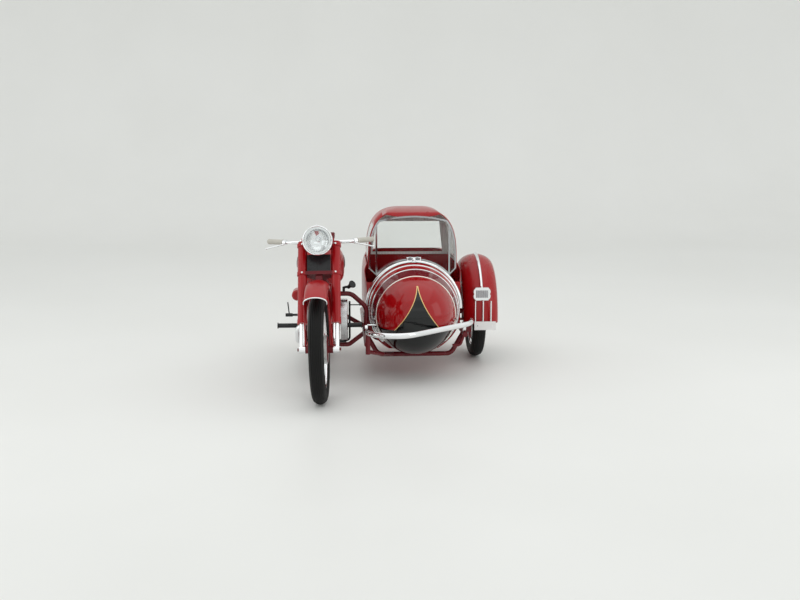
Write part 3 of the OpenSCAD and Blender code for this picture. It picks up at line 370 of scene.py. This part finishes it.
red_paint = finish_of(
    "red_paint", (0.30, 0.002, 0.005), (0.37, 0.003, 0.006), (0.24, 0.34), scale=3, bump=0.015,
    bump_scale=90,
    Coat_Weight=0.25, Coat_Roughness=0.05, Specular_IOR_Level=0.25,
)
dark_red_paint = finish_of(
    "dark_red_paint", (0.10, 0.003, 0.007), (0.16, 0.005, 0.010), (0.22, 0.36), scale=8, bump=0.03,
    bump_scale=150,
    Coat_Weight=0.2, Coat_Roughness=0.1, Specular_IOR_Level=0.25,
)
black_paint = finish_of(
    "black_paint", (0.008, 0.008, 0.009), (0.018, 0.018, 0.02), (0.18, 0.34), scale=10, bump=0.03,
    bump_scale=200,
    Coat_Weight=0.2, Coat_Roughness=0.08, Specular_IOR_Level=0.3,
)
smoothed("fork_tubes", "fork_upper_tubes", "steering", red_paint)
smoothed("fork_stanchions", "fork_sliding_tubes", "steering", chrome)
yokes = smoothed("fork_yokes", "fork_yoke_castings", "steering", dark_red_paint)
yokes.data.materials.append(red_paint)
for face in yokes.data.polygons:
    place = fork_turn.inverted() @ face.center
    face.material_index = 1 if abs(place.x) > 0.070 else 0
smoothed("front_axle", "front_spindle_and_plate", "steering", dark_red_paint)
smoothed("fork_panel", "black_fork_panel", "steering", black_paint)
smoothed("instrument", "speedometer_case", "steering", dark_red_paint)


def rod(name, points, radius, material, body, closed=False, turn=None, sides=5):
    """A round wire or beading that follows a line of points."""
    deselect()
    wire = bpy.data.curves.new(name, "CURVE")
    wire.dimensions = "3D"
    spline = wire.splines.new("POLY")
    spline.points.add(len(points) - 1)
    for knot, place in zip(spline.points, points):
        knot.co = (*place, 1)
    spline.use_cyclic_u = closed
    wire.bevel_depth = radius
    wire.bevel_resolution = sides
    wire.use_fill_caps = True
    piece = bpy.data.objects.new(name, wire)
    bpy.context.scene.collection.objects.link(piece)
    pick(piece)
    bpy.ops.object.convert(target="MESH")
    piece = bpy.context.object
    if turn is not None:
        put(piece, turn)
    tidy_normals(piece, angle=50)
    dress(piece, material)
    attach(piece, body)
    return piece


# Chromed caps and pinch bolts of the fork.
for side in (-1, 1):
    cap = turned(
        f"fork_top_cap_{'left' if side > 0 else 'right'}",
        [(0.0005, 0.012), (0.020, 0.012), (0.024, 0.009), (0.024, 0.001), (0.0005, 0.001)], axis="Z",
        steps=48,
    )
    dress(cap, chrome)
    put(cap, fork_turn @ Matrix.Translation((side * 0.104, 0, 0.7005)))
    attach(cap, "steering")
    for name, height in (("lower_pinch_bolt", 0.489), ("upper_pinch_bolt", 0.678)):
        bolt = turned(
            f"{name}_{'left' if side > 0 else 'right'}",
            [(0.0005, 0.009), (0.005, 0.009), (0.0068, 0.0065), (0.0068, 0), (0.0005, 0)], axis="Z",
            steps=24,
        )
        dress(bolt, chrome)
        put(bolt, fork_turn @ Matrix.Translation((side * 0.104, -0.0335,
            height)) @ Matrix.Rotation(math.radians(90), 4, "X"))
        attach(bolt, "steering")

# ---- Front and rear mudguards ----
# Pressed steel sheet painted red, with a rolled edge all round and a chromed lip at the front
# end. Four round stays hold the front one to the spindle.


def guard_sheet(name, outer, half, crown, skirt, wall, start, sweep, steps, turn):
    def arch(inset):
        points = [(outer - crown - skirt, half - inset)]
        for step in range(25):
            a = math.radians(step * 7.5)
            points.append((outer - crown + (crown - inset) * math.sin(a), (half - inset) * math.cos(a)))
        return points + [(outer - crown - skirt, -half + inset)]

    sheet = turned(name, arch(0) + arch(wall)[::-1], steps=steps, angle=sweep, smooth=40)
    bpy.ops.object.mode_set(mode="EDIT")
    bpy.ops.mesh.select_all(action="SELECT")
    bpy.ops.mesh.fill_holes(sides=0)
    bpy.ops.mesh.normals_make_consistent(inside=False)
    bpy.ops.object.mode_set(mode="OBJECT")
    return put(sheet, turn @ Matrix.Rotation(math.radians(start + sweep - 180), 4, "X"))


def guard_point(outer, half, crown, along, angle):
    """A point on a mudguard's outside: along runs 0 to 180 across the crown."""
    a, b = math.radians(along), math.radians(angle)
    radius = outer - crown + crown * math.sin(a)
    return (half * math.cos(a), radius * math.sin(b), -radius * math.cos(b))


guards = [
    ("front_mudguard", "steering", wheel_turn["front"], 80, 134),
    ("rear_mudguard", "root", wheel_turn["rear"], 84, 166),
]
for node, body, turn, start, sweep in guards:
    sheet = guard_sheet(f"{node}_sheet", 0.425, 0.0675, 0.038, 0.014, 0.0025, start, sweep, 96, turn)
    dress(sheet, red_paint)
    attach(sheet, body)
    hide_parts(node)
    for side in (-1, 1):
        edge = [
            (side * 0.0668, 0.373 * math.sin(math.radians(start + sweep * i / 60)),
             -0.373 * math.cos(math.radians(start + sweep * i / 60))) for i in range(61)
        ]
        rod(f"{node}_bead_{'left' if side > 0 else 'right'}", edge, 0.0026, red_paint, body,
            turn=turn)
    lip = [(0.0672, 0.374 * math.sin(math.radians(start + sweep)),
        -0.374 * math.cos(math.radians(start + sweep)))]
    lip += [guard_point(0.4255, 0.0675, 0.038, i * 7.5, start + sweep) for i in range(25)]
    lip += [(-lip[0][0], lip[0][1], lip[0][2])]
    rod(f"{node}_lip", lip, 0.0042, chrome if node == "front_mudguard" else red_paint, body,
        turn=turn)
for side in (-1, 1):
    for angle in (96, 206):
        a = math.radians(angle)
        tip = Vector((0, math.sin(a), -math.cos(a)))
        rod(
            f"front_mudguard_stay_{'left' if side > 0 else 'right'}_{angle}",
            [Vector((side * 0.083, 0, 0)) + tip * 0.0283, Vector((side * 0.0715, 0, 0)) + tip * 0.381,
             Vector((side * 0.0675, 0, 0)) + tip * 0.388], 0.004, red_paint, "steering",
            turn=wheel_turn["front"],
        )
# The pads and ties that carry the rear mudguard, and the sidecar mudguard's two brackets.
for name, middle, size in [
    ("rear_mudguard_front_pad", (-0.452, 0.467, 0.7515), (0.040, 0.024, 0.047)),
    ("rear_mudguard_back_pad", (-0.452, 0.637, 0.7635), (0.040, 0.024, 0.023)),
    ("rear_mudguard_left_tie", (-0.3815, 0.632, 0.715), (0.0100, 0.012, 0.012)),
    ("rear_mudguard_right_tie", (-0.5225, 0.632, 0.715), (0.0100, 0.012, 0.012)),
    ("sidecar_mudguard_front_bracket", (0.52575, 0.275, 0.3253), (0.0535, 0.036, 0.014)),
    ("sidecar_mudguard_back_bracket", (0.52575, 0.870, 0.3253), (0.0535, 0.036, 0.014)),
]:
    bpy.ops.mesh.primitive_cube_add(size=1, location=middle, scale=size)
    pad = bpy.context.object
    pad.name = name
    bpy.ops.object.transform_apply(location=True, scale=True)
    bevel = pad.modifiers.new("rounded", "BEVEL")
    bevel.width, bevel.segments = 0.002, 3
    bpy.ops.object.modifier_apply(modifier="rounded")
    dress(pad, dark_red_paint)
    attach(pad, "root")
# The stem that bolts the front mudguard under the lower yoke.
bpy.ops.mesh.primitive_cube_add(size=1, location=(0, 0, 0.4505), scale=(0.044, 0.028, 0.054))
stem = bpy.context.object
stem.name = "front_mudguard_stem"
bpy.ops.object.transform_apply(location=True, scale=True)
bevel = stem.modifiers.new("rounded", "BEVEL")
bevel.width, bevel.segments = 0.004, 3
bpy.ops.object.modifier_apply(modifier="rounded")
dress(stem, dark_red_paint)
put(stem, fork_turn)
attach(stem, "steering")

# ---- Headlamp ----
# A pressed steel bowl painted red and hung between two ears, closed by a domed glass in a
# chromed rim. Behind the glass are a silvered reflector and the bulb in its holder.
smoothed("headlamp", "headlamp_bowl", "steering", red_paint, 40)
lamp_turn = steering_turn @ Matrix.Translation((0, 0.165, 0.985))
mirror_silver = finish_of(
    "mirror_silver", (0.86, 0.87, 0.88), (0.93, 0.94, 0.95), (0.04, 0.1), metallic=1.0, scale=8,
    bump=0.03, bump_scale=30
)
lamp_glass = finish_of(
    "lamp_glass", (0.95, 0.97, 0.97), (0.99, 1.0, 1.0), (0.01, 0.05), scale=6,
    Transmission_Weight=0.95, IOR=1.3,
)
flute = set_node(lamp_glass, "ShaderNodeTexWave", wave_type="BANDS", bands_direction="X")
flute.inputs["Scale"].default_value = 55
flute.inputs["Distortion"].default_value = 0.6
flute_relief = set_node(lamp_glass, "ShaderNodeBump")
flute_relief.inputs["Strength"].default_value = 0.35
flute_relief.inputs["Distance"].default_value = 0.001
flute_place = set_node(lamp_glass, "ShaderNodeTexCoord")
lamp_glass.node_tree.links.new(flute_place.outputs["Object"], flute.inputs["Vector"])
lamp_glass.node_tree.links.new(flute.outputs["Fac"], flute_relief.inputs["Height"])
lamp_glass.node_tree.links.new(flute_relief.outputs["Normal"],
    lamp_glass.node_tree.nodes["Principled BSDF"].inputs["Normal"])

dome = [(0.0832 * math.cos(math.radians(t)),
    -0.0088 * math.sin(math.radians(t)) - 0.0004) for t in range(0, 91, 6)]
inner = [(r * 0.965, y + 0.0026) for r, y in dome][::-1]
parabola = [(r / 1000, 0.0472 - (r / 1000) ** 2 * 6.6) for r in range(70, 5, -4)]
lamp_parts = [
    ("headlamp_rim", chrome, "chrome", [
        (0.0836, -0.0010), (0.0842, -0.0046), (0.0870, -0.0066), (0.0905, -0.0060), (0.0928, -0.0030),
        (0.0934, 0.0010), (0.0936, 0.0160), (0.0924, 0.0165), (0.0921, -0.0004), (0.0850, -0.0004)]),
    ("headlamp_reflector", mirror_silver, "chrome", [(0.0838, 0.0006), (0.0700, 0.0006)] + parabola
        + [(r, y + 0.0006) for r, y in parabola][::-1] + [(0.0708, 0.0012), (0.0838, 0.0012)]),
    ("headlamp_lens", lamp_glass, "lamp_glass", [(0.0832, 0.0040)] + dome + inner + [(0.0803, 0.0040)]),
    ("headlamp_bulb", mirror_silver, "chrome", [
        (0.0002, 0.0180), (0.0050, 0.0185), (0.0085, 0.0215), (0.0098, 0.0260), (0.0085, 0.0305),
        (0.0070, 0.0330), (0.0090, 0.0345), (0.0090, 0.0450), (0.0002, 0.0450)]),
]
for name, material, slot, profile in lamp_parts:
    part = turned(name, profile, axis="Y", steps=96, smooth=45)
    dress(part, material)
    put(part, lamp_turn)
    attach(part, "steering")
    if name == "headlamp_lens":
        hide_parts("headlamp_glass")
rod("headlamp_rim_clip", [(0, -0.0035, 0.0925), (0, 0.002, 0.098), (0, 0.012, 0.0985), (0, 0.017,
    0.094)], 0.004,
    chrome, "steering", turn=lamp_turn)

# ---- Handlebar, grips and levers ----
# A bent steel tube in chrome, with moulded grips of pale rubber ringed by shallow grooves and
# forged levers on clamped pivots.
smoothed("handlebar", "handlebar_tube", "steering", chrome)
smoothed("hand_levers", "brake_and_clutch_levers", "steering", chrome)
grip_rubber = finish_of(
    "grip_rubber", (0.44, 0.42, 0.37), (0.58, 0.56, 0.50), (0.5, 0.7), scale=25, bump=0.2, bump_scale=600
)
sweep_back = math.radians(37)
bar_end = Vector((0.335, 0.375 + 0.160 * math.tan(sweep_back), 0.955))
grip_line = [(0.0118, 0.0), (0.0175, 0.0005), (0.0188, 0.002), (0.0188, 0.004), (0.0165, 0.006)]
for ring in range(18):
    start = 0.0085 + ring * 0.006
    grip_line += [(0.0165, start), (0.0165, start + 0.0036), (0.0156, start + 0.0042),
        (0.0156, start + 0.0054)]
grip_line += [(0.0165, 0.1175), (0.0170, 0.124), (0.0150, 0.1285), (0.0002, 0.129), (0.0002, 0.1262),
    (0.0118, 0.1262)]
for side in (-1, 1):
    grip = turned(f"grip_{'left' if side > 0 else 'right'}", grip_line, axis="Z", steps=48, smooth=60)
    dress(grip, grip_rubber)
    outward = Vector((side * math.cos(sweep_back), math.sin(sweep_back), 0))
    inner_end = Vector((side * bar_end.x, bar_end.y, bar_end.z)) - outward * 0.125
    put(grip, steering_turn @ Matrix.Translation(inner_end) @ outward.to_track_quat("Z",
        "Y").to_matrix().to_4x4())
    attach(grip, "steering")
    if side > 0:
        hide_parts("handlebar_grips")

# ---- Motorcycle frame and engine ----
# A brazed tubular frame in dark red around a flat single cylinder of cast alloy, with the
# bright steel flywheel turning outside the crankcase on the left.
smoothed("main_frame", "main_frame_tubes", "root", dark_red_paint)
smoothed("rear_frame", "rear_frame_tubes", "root", dark_red_paint)
smoothed("crankcase", "crankcase_casting", "root", alloy)
smoothed("cylinder", "finned_cylinder", "root", alloy)
smoothed("flywheel", "outside_flywheel", "flywheel", steel)
smoothed("exhaust", "exhaust_pipe_and_silencer", "root", chrome)
smoothed("carburettor", "carburettor_body", "root", alloy)
smoothed("rear_axle", "rear_spindle_and_plate", "root", dark_red_paint)
smoothed("drive_chain", "roller_chain", "root", steel)
smoothed("tool_canister", "tool_canister_tin", "root", red_paint)
smoothed("foot_controls", "foot_pegs_and_pedals", "root", black_paint)
smoothed("horn", "horn_trumpet", "root", black_paint)
smoothed("centre_stand", "centre_stand_legs", "stand", black_paint)

# ---- Fuel tank ----
# Two steel pressings welded along the middle and painted red, with rubber knee pads on the
# sides and a chromed screw cap.


def squircle(u, power):
    return max(0.0, 1 - abs(u) ** power) ** (1 / power)


bpy.ops.mesh.primitive_uv_sphere_add(segments=96, ring_count=64, radius=1.0)
tank = bpy.context.object
tank.name = "fuel_tank_shell"
tank_middle = Vector((-0.452, -0.211, 0.7815))
TANK_HALF_WIDE, TANK_HALF_LONG, TANK_CROWN, TANK_BELLY = 0.1545, 0.2645, 0.148, 0.126
for vertex in tank.data.vertices:
    x, y, z = vertex.co
    reach = math.copysign(abs(y) ** 0.85, y) if abs(y) < 1 else y
    wide = squircle(reach, 2.6)
    tall = squircle(reach, 2.5 if z > 0 else 3.2)
    turn = math.atan2(abs(z), abs(x))
    power = 2.4 if z > 0 else 4.0
    ux, uz = math.cos(turn) ** (2 / power), math.sin(turn) ** (2 / power)
    vertex.co = (
        tank_middle.x + math.copysign(ux, x) * TANK_HALF_WIDE * wide,
        tank_middle.y + reach * TANK_HALF_LONG,
        tank_middle.z + (uz * TANK_CROWN * tall if z > 0 else -uz * TANK_BELLY * tall),
    )
bpy.ops.object.shade_smooth()
bpy.ops.object.mode_set(mode="EDIT")
bpy.ops.mesh.select_all(action="SELECT")
bpy.ops.mesh.remove_doubles(threshold=0.0003)
bpy.ops.mesh.normals_make_consistent(inside=False)
bpy.ops.object.mode_set(mode="OBJECT")
dress(tank, red_paint)
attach(tank, "root")
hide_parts("fuel_tank")
cap = turned("fuel_cap", [
    (0.0002, 0.934), (0.012, 0.9345), (0.022, 0.9325), (0.028, 0.928), (0.030, 0.922), (0.030, 0.905),
    (0.0002, 0.905)],
    axis="Z", steps=64)
dress(cap, chrome)
put(cap, Matrix.Translation((-0.452, -0.301, 0)))
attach(cap, "root")
pad_rubber = finish_of("pad_rubber", (0.010, 0.010, 0.010), (0.022, 0.022, 0.021), (0.6, 0.8), scale=20,
    bump=0.3, bump_scale=500)
for side in (-1, 1):
    bpy.ops.mesh.primitive_uv_sphere_add(segments=48, ring_count=24, radius=1.0)
    pad = bpy.context.object
    pad.name = f"knee_pad_{'left' if side > 0 else 'right'}"
    for vertex in pad.data.vertices:
        x, y, z = vertex.co
        height = 0.795 + 0.042 * z + 0.012 * y
        along = -0.143 + 0.085 * y
        reach = (along - tank_middle.y) / TANK_HALF_LONG
        surface = TANK_HALF_WIDE * squircle(reach,
            2.6) * squircle((height - tank_middle.z) / TANK_CROWN, 2.4)
        lift = 0.006 * math.sqrt(max(0.0, 1 - min(1.0, y * y + z * z) ** 2)) if x * side > 0 else -0.004
        vertex.co = (-0.452 + side * (surface + lift), along, height)
    tidy_normals(pad, angle=50)
    dress(pad, pad_rubber)
    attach(pad, "root")

# ---- Saddle and pillion pad ----
# Black leather over sprung felt. Each cover is cut, sewn and stuffed until it stands full, then
# strapped down over the frame's loops.
black_leather = finish_of(
    "black_leather", (0.012, 0.011, 0.010), (0.03, 0.027, 0.025), (0.38, 0.55), scale=18, bump=0.5,
    bump_scale=420
)


def stuffed(node, name, body, material, cap, voxel, shrink):
    """The frame's plain pad as a stuffed cover: remeshed, blown up as cloth and held to its room."""
    piece = smoothed(node, name, body, material)
    pick(piece)
    middle = sum((Vector(corner) for corner in piece.bound_box), Vector()) / 8
    bpy.ops.object.mode_set(mode="EDIT")
    bpy.ops.mesh.select_all(action="SELECT")
    bpy.ops.transform.resize(value=shrink, center_override=middle)
    bpy.ops.object.mode_set(mode="OBJECT")
    remesh = piece.modifiers.new("even_mesh", "REMESH")
    remesh.mode = "VOXEL"
    remesh.voxel_size = voxel
    bpy.ops.object.modifier_apply(modifier="even_mesh")
    start = [vertex.co.copy() for vertex in piece.data.vertices]
    bpy.ops.object.modifier_add(type="CLOTH")
    cloth = piece.modifiers[-1]
    cloth.settings.use_pressure = True
    cloth.settings.uniform_pressure_force = 4.0
    cloth.settings.effector_weights.gravity = 0.0
    for step in range(1, 21):
        bpy.context.scene.frame_set(step)
    bpy.ops.object.modifier_apply(modifier=cloth.name)
    bpy.context.scene.frame_set(1)
    for vertex, place in zip(piece.data.vertices, start):
        move = vertex.co - place
        if move.length > cap:
            vertex.co = place + move * (cap / move.length)
    soften = piece.modifiers.new("soften", "SMOOTH")
    soften.factor, soften.iterations = 0.5, 6
    bpy.ops.object.modifier_apply(modifier="soften")
    finer = piece.modifiers.new("finer", "SUBSURF")
    finer.levels = finer.render_levels = 1
    bpy.ops.object.modifier_apply(modifier="finer")
    bpy.ops.object.shade_smooth()
    return piece


stuffed("saddle", "saddle_cover", "root", black_leather, 0.010, 0.006,
    (0.95, 0.96, 0.82))
stuffed("pillion_pad", "pillion_cover", "root", black_leather, 0.010, 0.006,
    (0.93, 0.95, 0.8))

# ---- Sidecar chassis, bumper and springs ----
# A dark red tubular chassis on the sidecar's own axle, tied to the motorcycle by two lower
# links and an arched upper tube, with a chromed bumper bar and leaf springs.
smoothed("sidecar_chassis", "sidecar_chassis_tubes", "root", dark_red_paint, 40)
smoothed("sidecar_arch", "sidecar_arch_tube", "root", dark_red_paint, 40)
bumper = smoothed("bumper", "bumper_bar", "root", chrome, 40)
BUMPER_Z = 0.380
taller = Matrix.Diagonal((1, 1, 1.5, 1))
put(bumper, Matrix.Translation((0, 0, BUMPER_Z)) @ taller @ Matrix.Translation((0, 0, -BUMPER_Z)))
smoothed("body_springs", "body_spring_leaves", "root", chrome, 40)

# ---- Sidecar nose ----
# A beaten steel nose, red above and black below the bumper line, with a black arrowhead
# edged by a hand-drawn gold line. A darker red band runs round it behind the arrowhead.
BODY_X = 0.178
ARROW_TIP_Z, ARROW_BACK_Y, GOLD_LINE = 0.652, -0.303, 0.0055
BAND_FRONT_Y, BAND_BACK_Y, BLACK_BELOW_Z = -0.230, -0.121, 0.368
nose_paint = finish_of(
    "nose_paint", (0.30, 0.002, 0.004), (0.37, 0.003, 0.005), (0.10, 0.16), scale=3, bump=0.01,
    bump_scale=90,
    Coat_Weight=0.4, Coat_Roughness=0.04, Specular_IOR_Level=0.25,
)


def maths(material, operation, first, second=0.0):
    node = set_node(material, "ShaderNodeMath", operation=operation)
    for socket, value in ((node.inputs[0], first), (node.inputs[1], second)):
        if isinstance(value, (int, float)):
            socket.default_value = value
        else:
            material.node_tree.links.new(value, socket)
    return node.outputs[0]


def painted_over(material, mask, colour):
    """Lays one more colour over a finish where the mask is 1."""
    shader = material.node_tree.nodes["Principled BSDF"]
    links = material.node_tree.links
    below = shader.inputs["Base Color"].links[0].from_socket
    coat = set_node(material, "ShaderNodeMix", data_type="RGBA")
    links.new(mask, coat.inputs["Factor"])
    links.new(below, coat.inputs["A"])
    coat.inputs["B"].default_value = (*colour, 1)
    links.new(coat.outputs["Result"], shader.inputs["Base Color"])


nose_place = set_node(nose_paint, "ShaderNodeTexCoord")
nose_split = set_node(nose_paint, "ShaderNodeSeparateXYZ")
nose_paint.node_tree.links.new(nose_place.outputs["Object"], nose_split.inputs[0])
drop = maths(nose_paint, "MAXIMUM", maths(nose_paint, "SUBTRACT", ARROW_TIP_Z, nose_split.outputs["Z"]),
    0.0)
half_width = maths(nose_paint, "MULTIPLY", maths(nose_paint, "POWER", drop, 1.6), 1.13)
off_centre = maths(nose_paint, "ABSOLUTE", maths(nose_paint, "SUBTRACT", nose_split.outputs["X"], BODY_X))
ahead = maths(nose_paint, "LESS_THAN", nose_split.outputs["Y"], ARROW_BACK_Y)
arrow = maths(nose_paint, "MULTIPLY", maths(nose_paint, "LESS_THAN", off_centre, half_width), ahead)
edged = maths(
    nose_paint, "MULTIPLY",
    maths(nose_paint, "LESS_THAN", off_centre, maths(nose_paint, "ADD", half_width, GOLD_LINE)),
    maths(nose_paint, "MULTIPLY", ahead, maths(nose_paint, "GREATER_THAN", drop, 0.0005)),
)
band = maths(
    nose_paint, "MULTIPLY",
    maths(nose_paint, "GREATER_THAN", nose_split.outputs["Y"], BAND_FRONT_Y),
    maths(nose_paint, "LESS_THAN", nose_split.outputs["Y"], BAND_BACK_Y),
)
under = maths(nose_paint, "LESS_THAN", nose_split.outputs["Z"], BLACK_BELOW_Z)
painted_over(nose_paint, band, (0.15, 0.004, 0.01))
painted_over(nose_paint, edged, (0.80, 0.55, 0.22))
painted_over(nose_paint, arrow, (0.002, 0.003, 0.003))
painted_over(nose_paint, under, (0.003, 0.004, 0.004))


def nose_radius(along):
    share = min(1.0, along / 0.465)
    flare = 0.043 * (1 - along / 0.3) ** 2 if along < 0.3 else 0.0
    return 0.275 * (1 - share**3) ** (1 / 2.2) + flare


def nose_point(along, angle, lift):
    """A point on the nose: along it from the hoop, and round it from the left side over the top."""
    tilt, a = math.radians(4), math.radians(angle)
    radius = nose_radius(along) + lift
    return Vector((
        BODY_X + radius * math.cos(a),
        -0.015 - along * math.cos(tilt) - radius * math.sin(a) * math.sin(tilt),
        0.450 - along * math.sin(tilt) + radius * math.sin(a) * math.cos(tilt),
    ))


smoothed("sidecar_nose", "nose_cone", "root", nose_paint, 40)
cream_trim = finish_of(
    "bright_trim", (0.80, 0.77, 0.70), (0.92, 0.90, 0.84), (0.1, 0.2), metallic=0.85, scale=30,
    bump=0.02, bump_scale=90
)
for name, along, low, radius, material in [
    ("front_cowl_moulding", 0.216, -40, 0.0042, cream_trim),
    ("middle_cowl_moulding", 0.105, -44, 0.0040, chrome),
    ("rear_cowl_moulding", 0.040, -46, 0.0055, chrome),
]:
    rod(name, [nose_point(along, low + (180 - 2 * low) * i / 90, 0.001) for i in range(91)], radius,
        material, "root")

# ---- Tub, tail and cowl hoop ----
# The body's steel sides and tail, welded and painted, with a chromed tube hoop over the front
# of the cockpit. A turned cap stands on the hinge that the canopy tips on.
for node, name, material, slot in [
    ("sidecar_tub", "tub_shell", red_paint, "red_paint"),
    ("sidecar_tail", "tail_shell", red_paint, "red_paint"),
    ("cowl_hoop", "cowl_hoop_bar", chrome, "chrome"),
]:
    smoothed(node, name, "root", material, 40)
hinge_cap = turned("hinge_cap", [
    (0.0002, 0.030), (0.006, 0.029), (0.011, 0.024), (0.013, 0.016), (0.012, 0.008), (0.017, 0.004),
    (0.018, 0.0), (0.0002, 0.0)],
    axis="Z", steps=48)
dress(hinge_cap, chrome)
put(hinge_cap, Matrix.Translation((BODY_X, -0.028, 0.772)))
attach(hinge_cap, "root")

# ---- Sidecar mudguard, lamp and plate ----
# A deep pressed mudguard in red with a bright strip along its crown, a chromed side lamp with
# a ribbed glass on its front, and a blank white plate hung from three bright bars.
pod = guard_sheet("sidecar_mudguard_shell", 0.428, 0.124, 0.088, 0.090, 0.003, 80, 194, 128,
    wheel_turn["sidecar"])
dress(pod, red_paint)
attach(pod, "root")
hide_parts("sidecar_mudguard")
strip = [guard_point(0.4300, 0.124, 0.088, 90, 150 + 88 * i / 60) for i in range(61)]
rod("mudguard_crown_strip", strip, 0.0115, chrome, "root", turn=wheel_turn["sidecar"])
for side in (-1, 1):
    edge = [
        (side * 0.1232, 0.250 * math.sin(math.radians(80 + 194 * i / 80)),
        -0.250 * math.cos(math.radians(80 + 194 * i / 80)))
        for i in range(81)
    ]
    rod(f"sidecar_mudguard_bead_{'outer' if side > 0 else 'inner'}", edge, 0.003, red_paint, "root",
        turn=wheel_turn["sidecar"])
smoothed("sidecar_lamp", "side_lamp_body", "root", chrome, 40)
ribbed_glass = finish_of(
    "ribbed_glass", (0.30, 0.31, 0.33), (0.46, 0.47, 0.49), (0.04, 0.1), scale=30, Coat_Weight=1.0,
    Coat_Roughness=0.02
)
lamp_front = SIDE_AXLE.y - 0.428 + 0.014
for rib in range(7):
    a = rib - 3
    rod(f"side_lamp_rib_{rib}", [(SIDE_AXLE.x + a * 0.0125, lamp_front - 0.001, 0.520 - 0.026),
        (SIDE_AXLE.x + a * 0.0125, lamp_front - 0.001, 0.520 + 0.026)], 0.0058, ribbed_glass, "root")
white_paint = finish_of("white_paint", (0.80, 0.80, 0.79), (0.86, 0.86, 0.85), (0.3, 0.42), scale=15,
    bump=0.02)
plate = smoothed("number_plate", "blank_plate_and_bars", "root", white_paint)
plate.data.materials.append(chrome)
for face in plate.data.polygons:
    if face.center.z > 0.3285 or face.center.y > SIDE_AXLE.y - 0.428 - 0.012:
        face.material_index = 1

# ---- Sidecar seat ----
# A sprung cushion and a tall backrest in red leather. Both covers are sewn and then stuffed,
# and stand on the shelf inside the tub.
red_leather = finish_of(
    "red_leather", (0.30, 0.035, 0.055), (0.38, 0.055, 0.075), (0.42, 0.6), scale=16, bump=0.45,
    bump_scale=380
)
stuffed("seat_cushion", "sidecar_seat_cushion", "root", red_leather, 0.014, 0.008,
    (0.95, 0.95, 0.86))
stuffed("seat_back", "sidecar_seat_back", "root", red_leather, 0.014, 0.008,
    (0.95, 0.84, 0.95))

# ---- Canopy ----
# A domed steel roof painted red and lined with pale pleated cloth, with clear side and rear
# windows. A grey metal frame carries the curved screen and tips on the hinge over the cowl.
clear_sheet = finish_of(
    "clear_sheet", (0.95, 0.965, 0.96), (0.99, 1.0, 0.995), (0.0, 0.03), scale=3, bump=0.01, bump_scale=8,
    Transmission_Weight=1.0, IOR=1.2,
)
lining = finish_of(
    "pleated_lining", (0.84, 0.83, 0.81), (0.92, 0.91, 0.89), (0.6, 0.8), scale=14, bump=0.3, bump_scale=500
)
# Painted shade: narrow darker lines along the flat lining stand in for the shade in the folds of its
# pleats.
pleat_shade_wave = set_node(lining, "ShaderNodeTexWave", wave_type="BANDS", bands_direction="X")
pleat_shade_wave.inputs["Scale"].default_value = 14
pleat_place = set_node(lining, "ShaderNodeTexCoord")
lining.node_tree.links.new(pleat_place.outputs["Object"], pleat_shade_wave.inputs["Vector"])
painted_over(lining, maths(lining, "GREATER_THAN", pleat_shade_wave.outputs["Fac"], 0.93), (0.70, 0.69, 0.67))
roof = smoothed("canopy_roof", "canopy_roof_shell", "canopy", red_paint, 75)
roof.data.materials.append(lining)
for face in roof.data.polygons:
    if face.normal.dot(face.center - Vector((BODY_X, 0.305, 0.72))) < 0:
        face.material_index = 1
frame_metal = finish_of(
    "screen_frame_metal", (0.34, 0.35, 0.36), (0.46, 0.47, 0.48), (0.14, 0.26), metallic=1.0, scale=40,
    bump=0.04, bump_scale=400
)
smoothed("canopy_frame", "canopy_screen_frame", "canopy", frame_metal)
smoothed("windscreen", "windscreen_pane", "canopy", clear_sheet)
smoothed("side_windows", "side_window_panes", "canopy", clear_sheet)
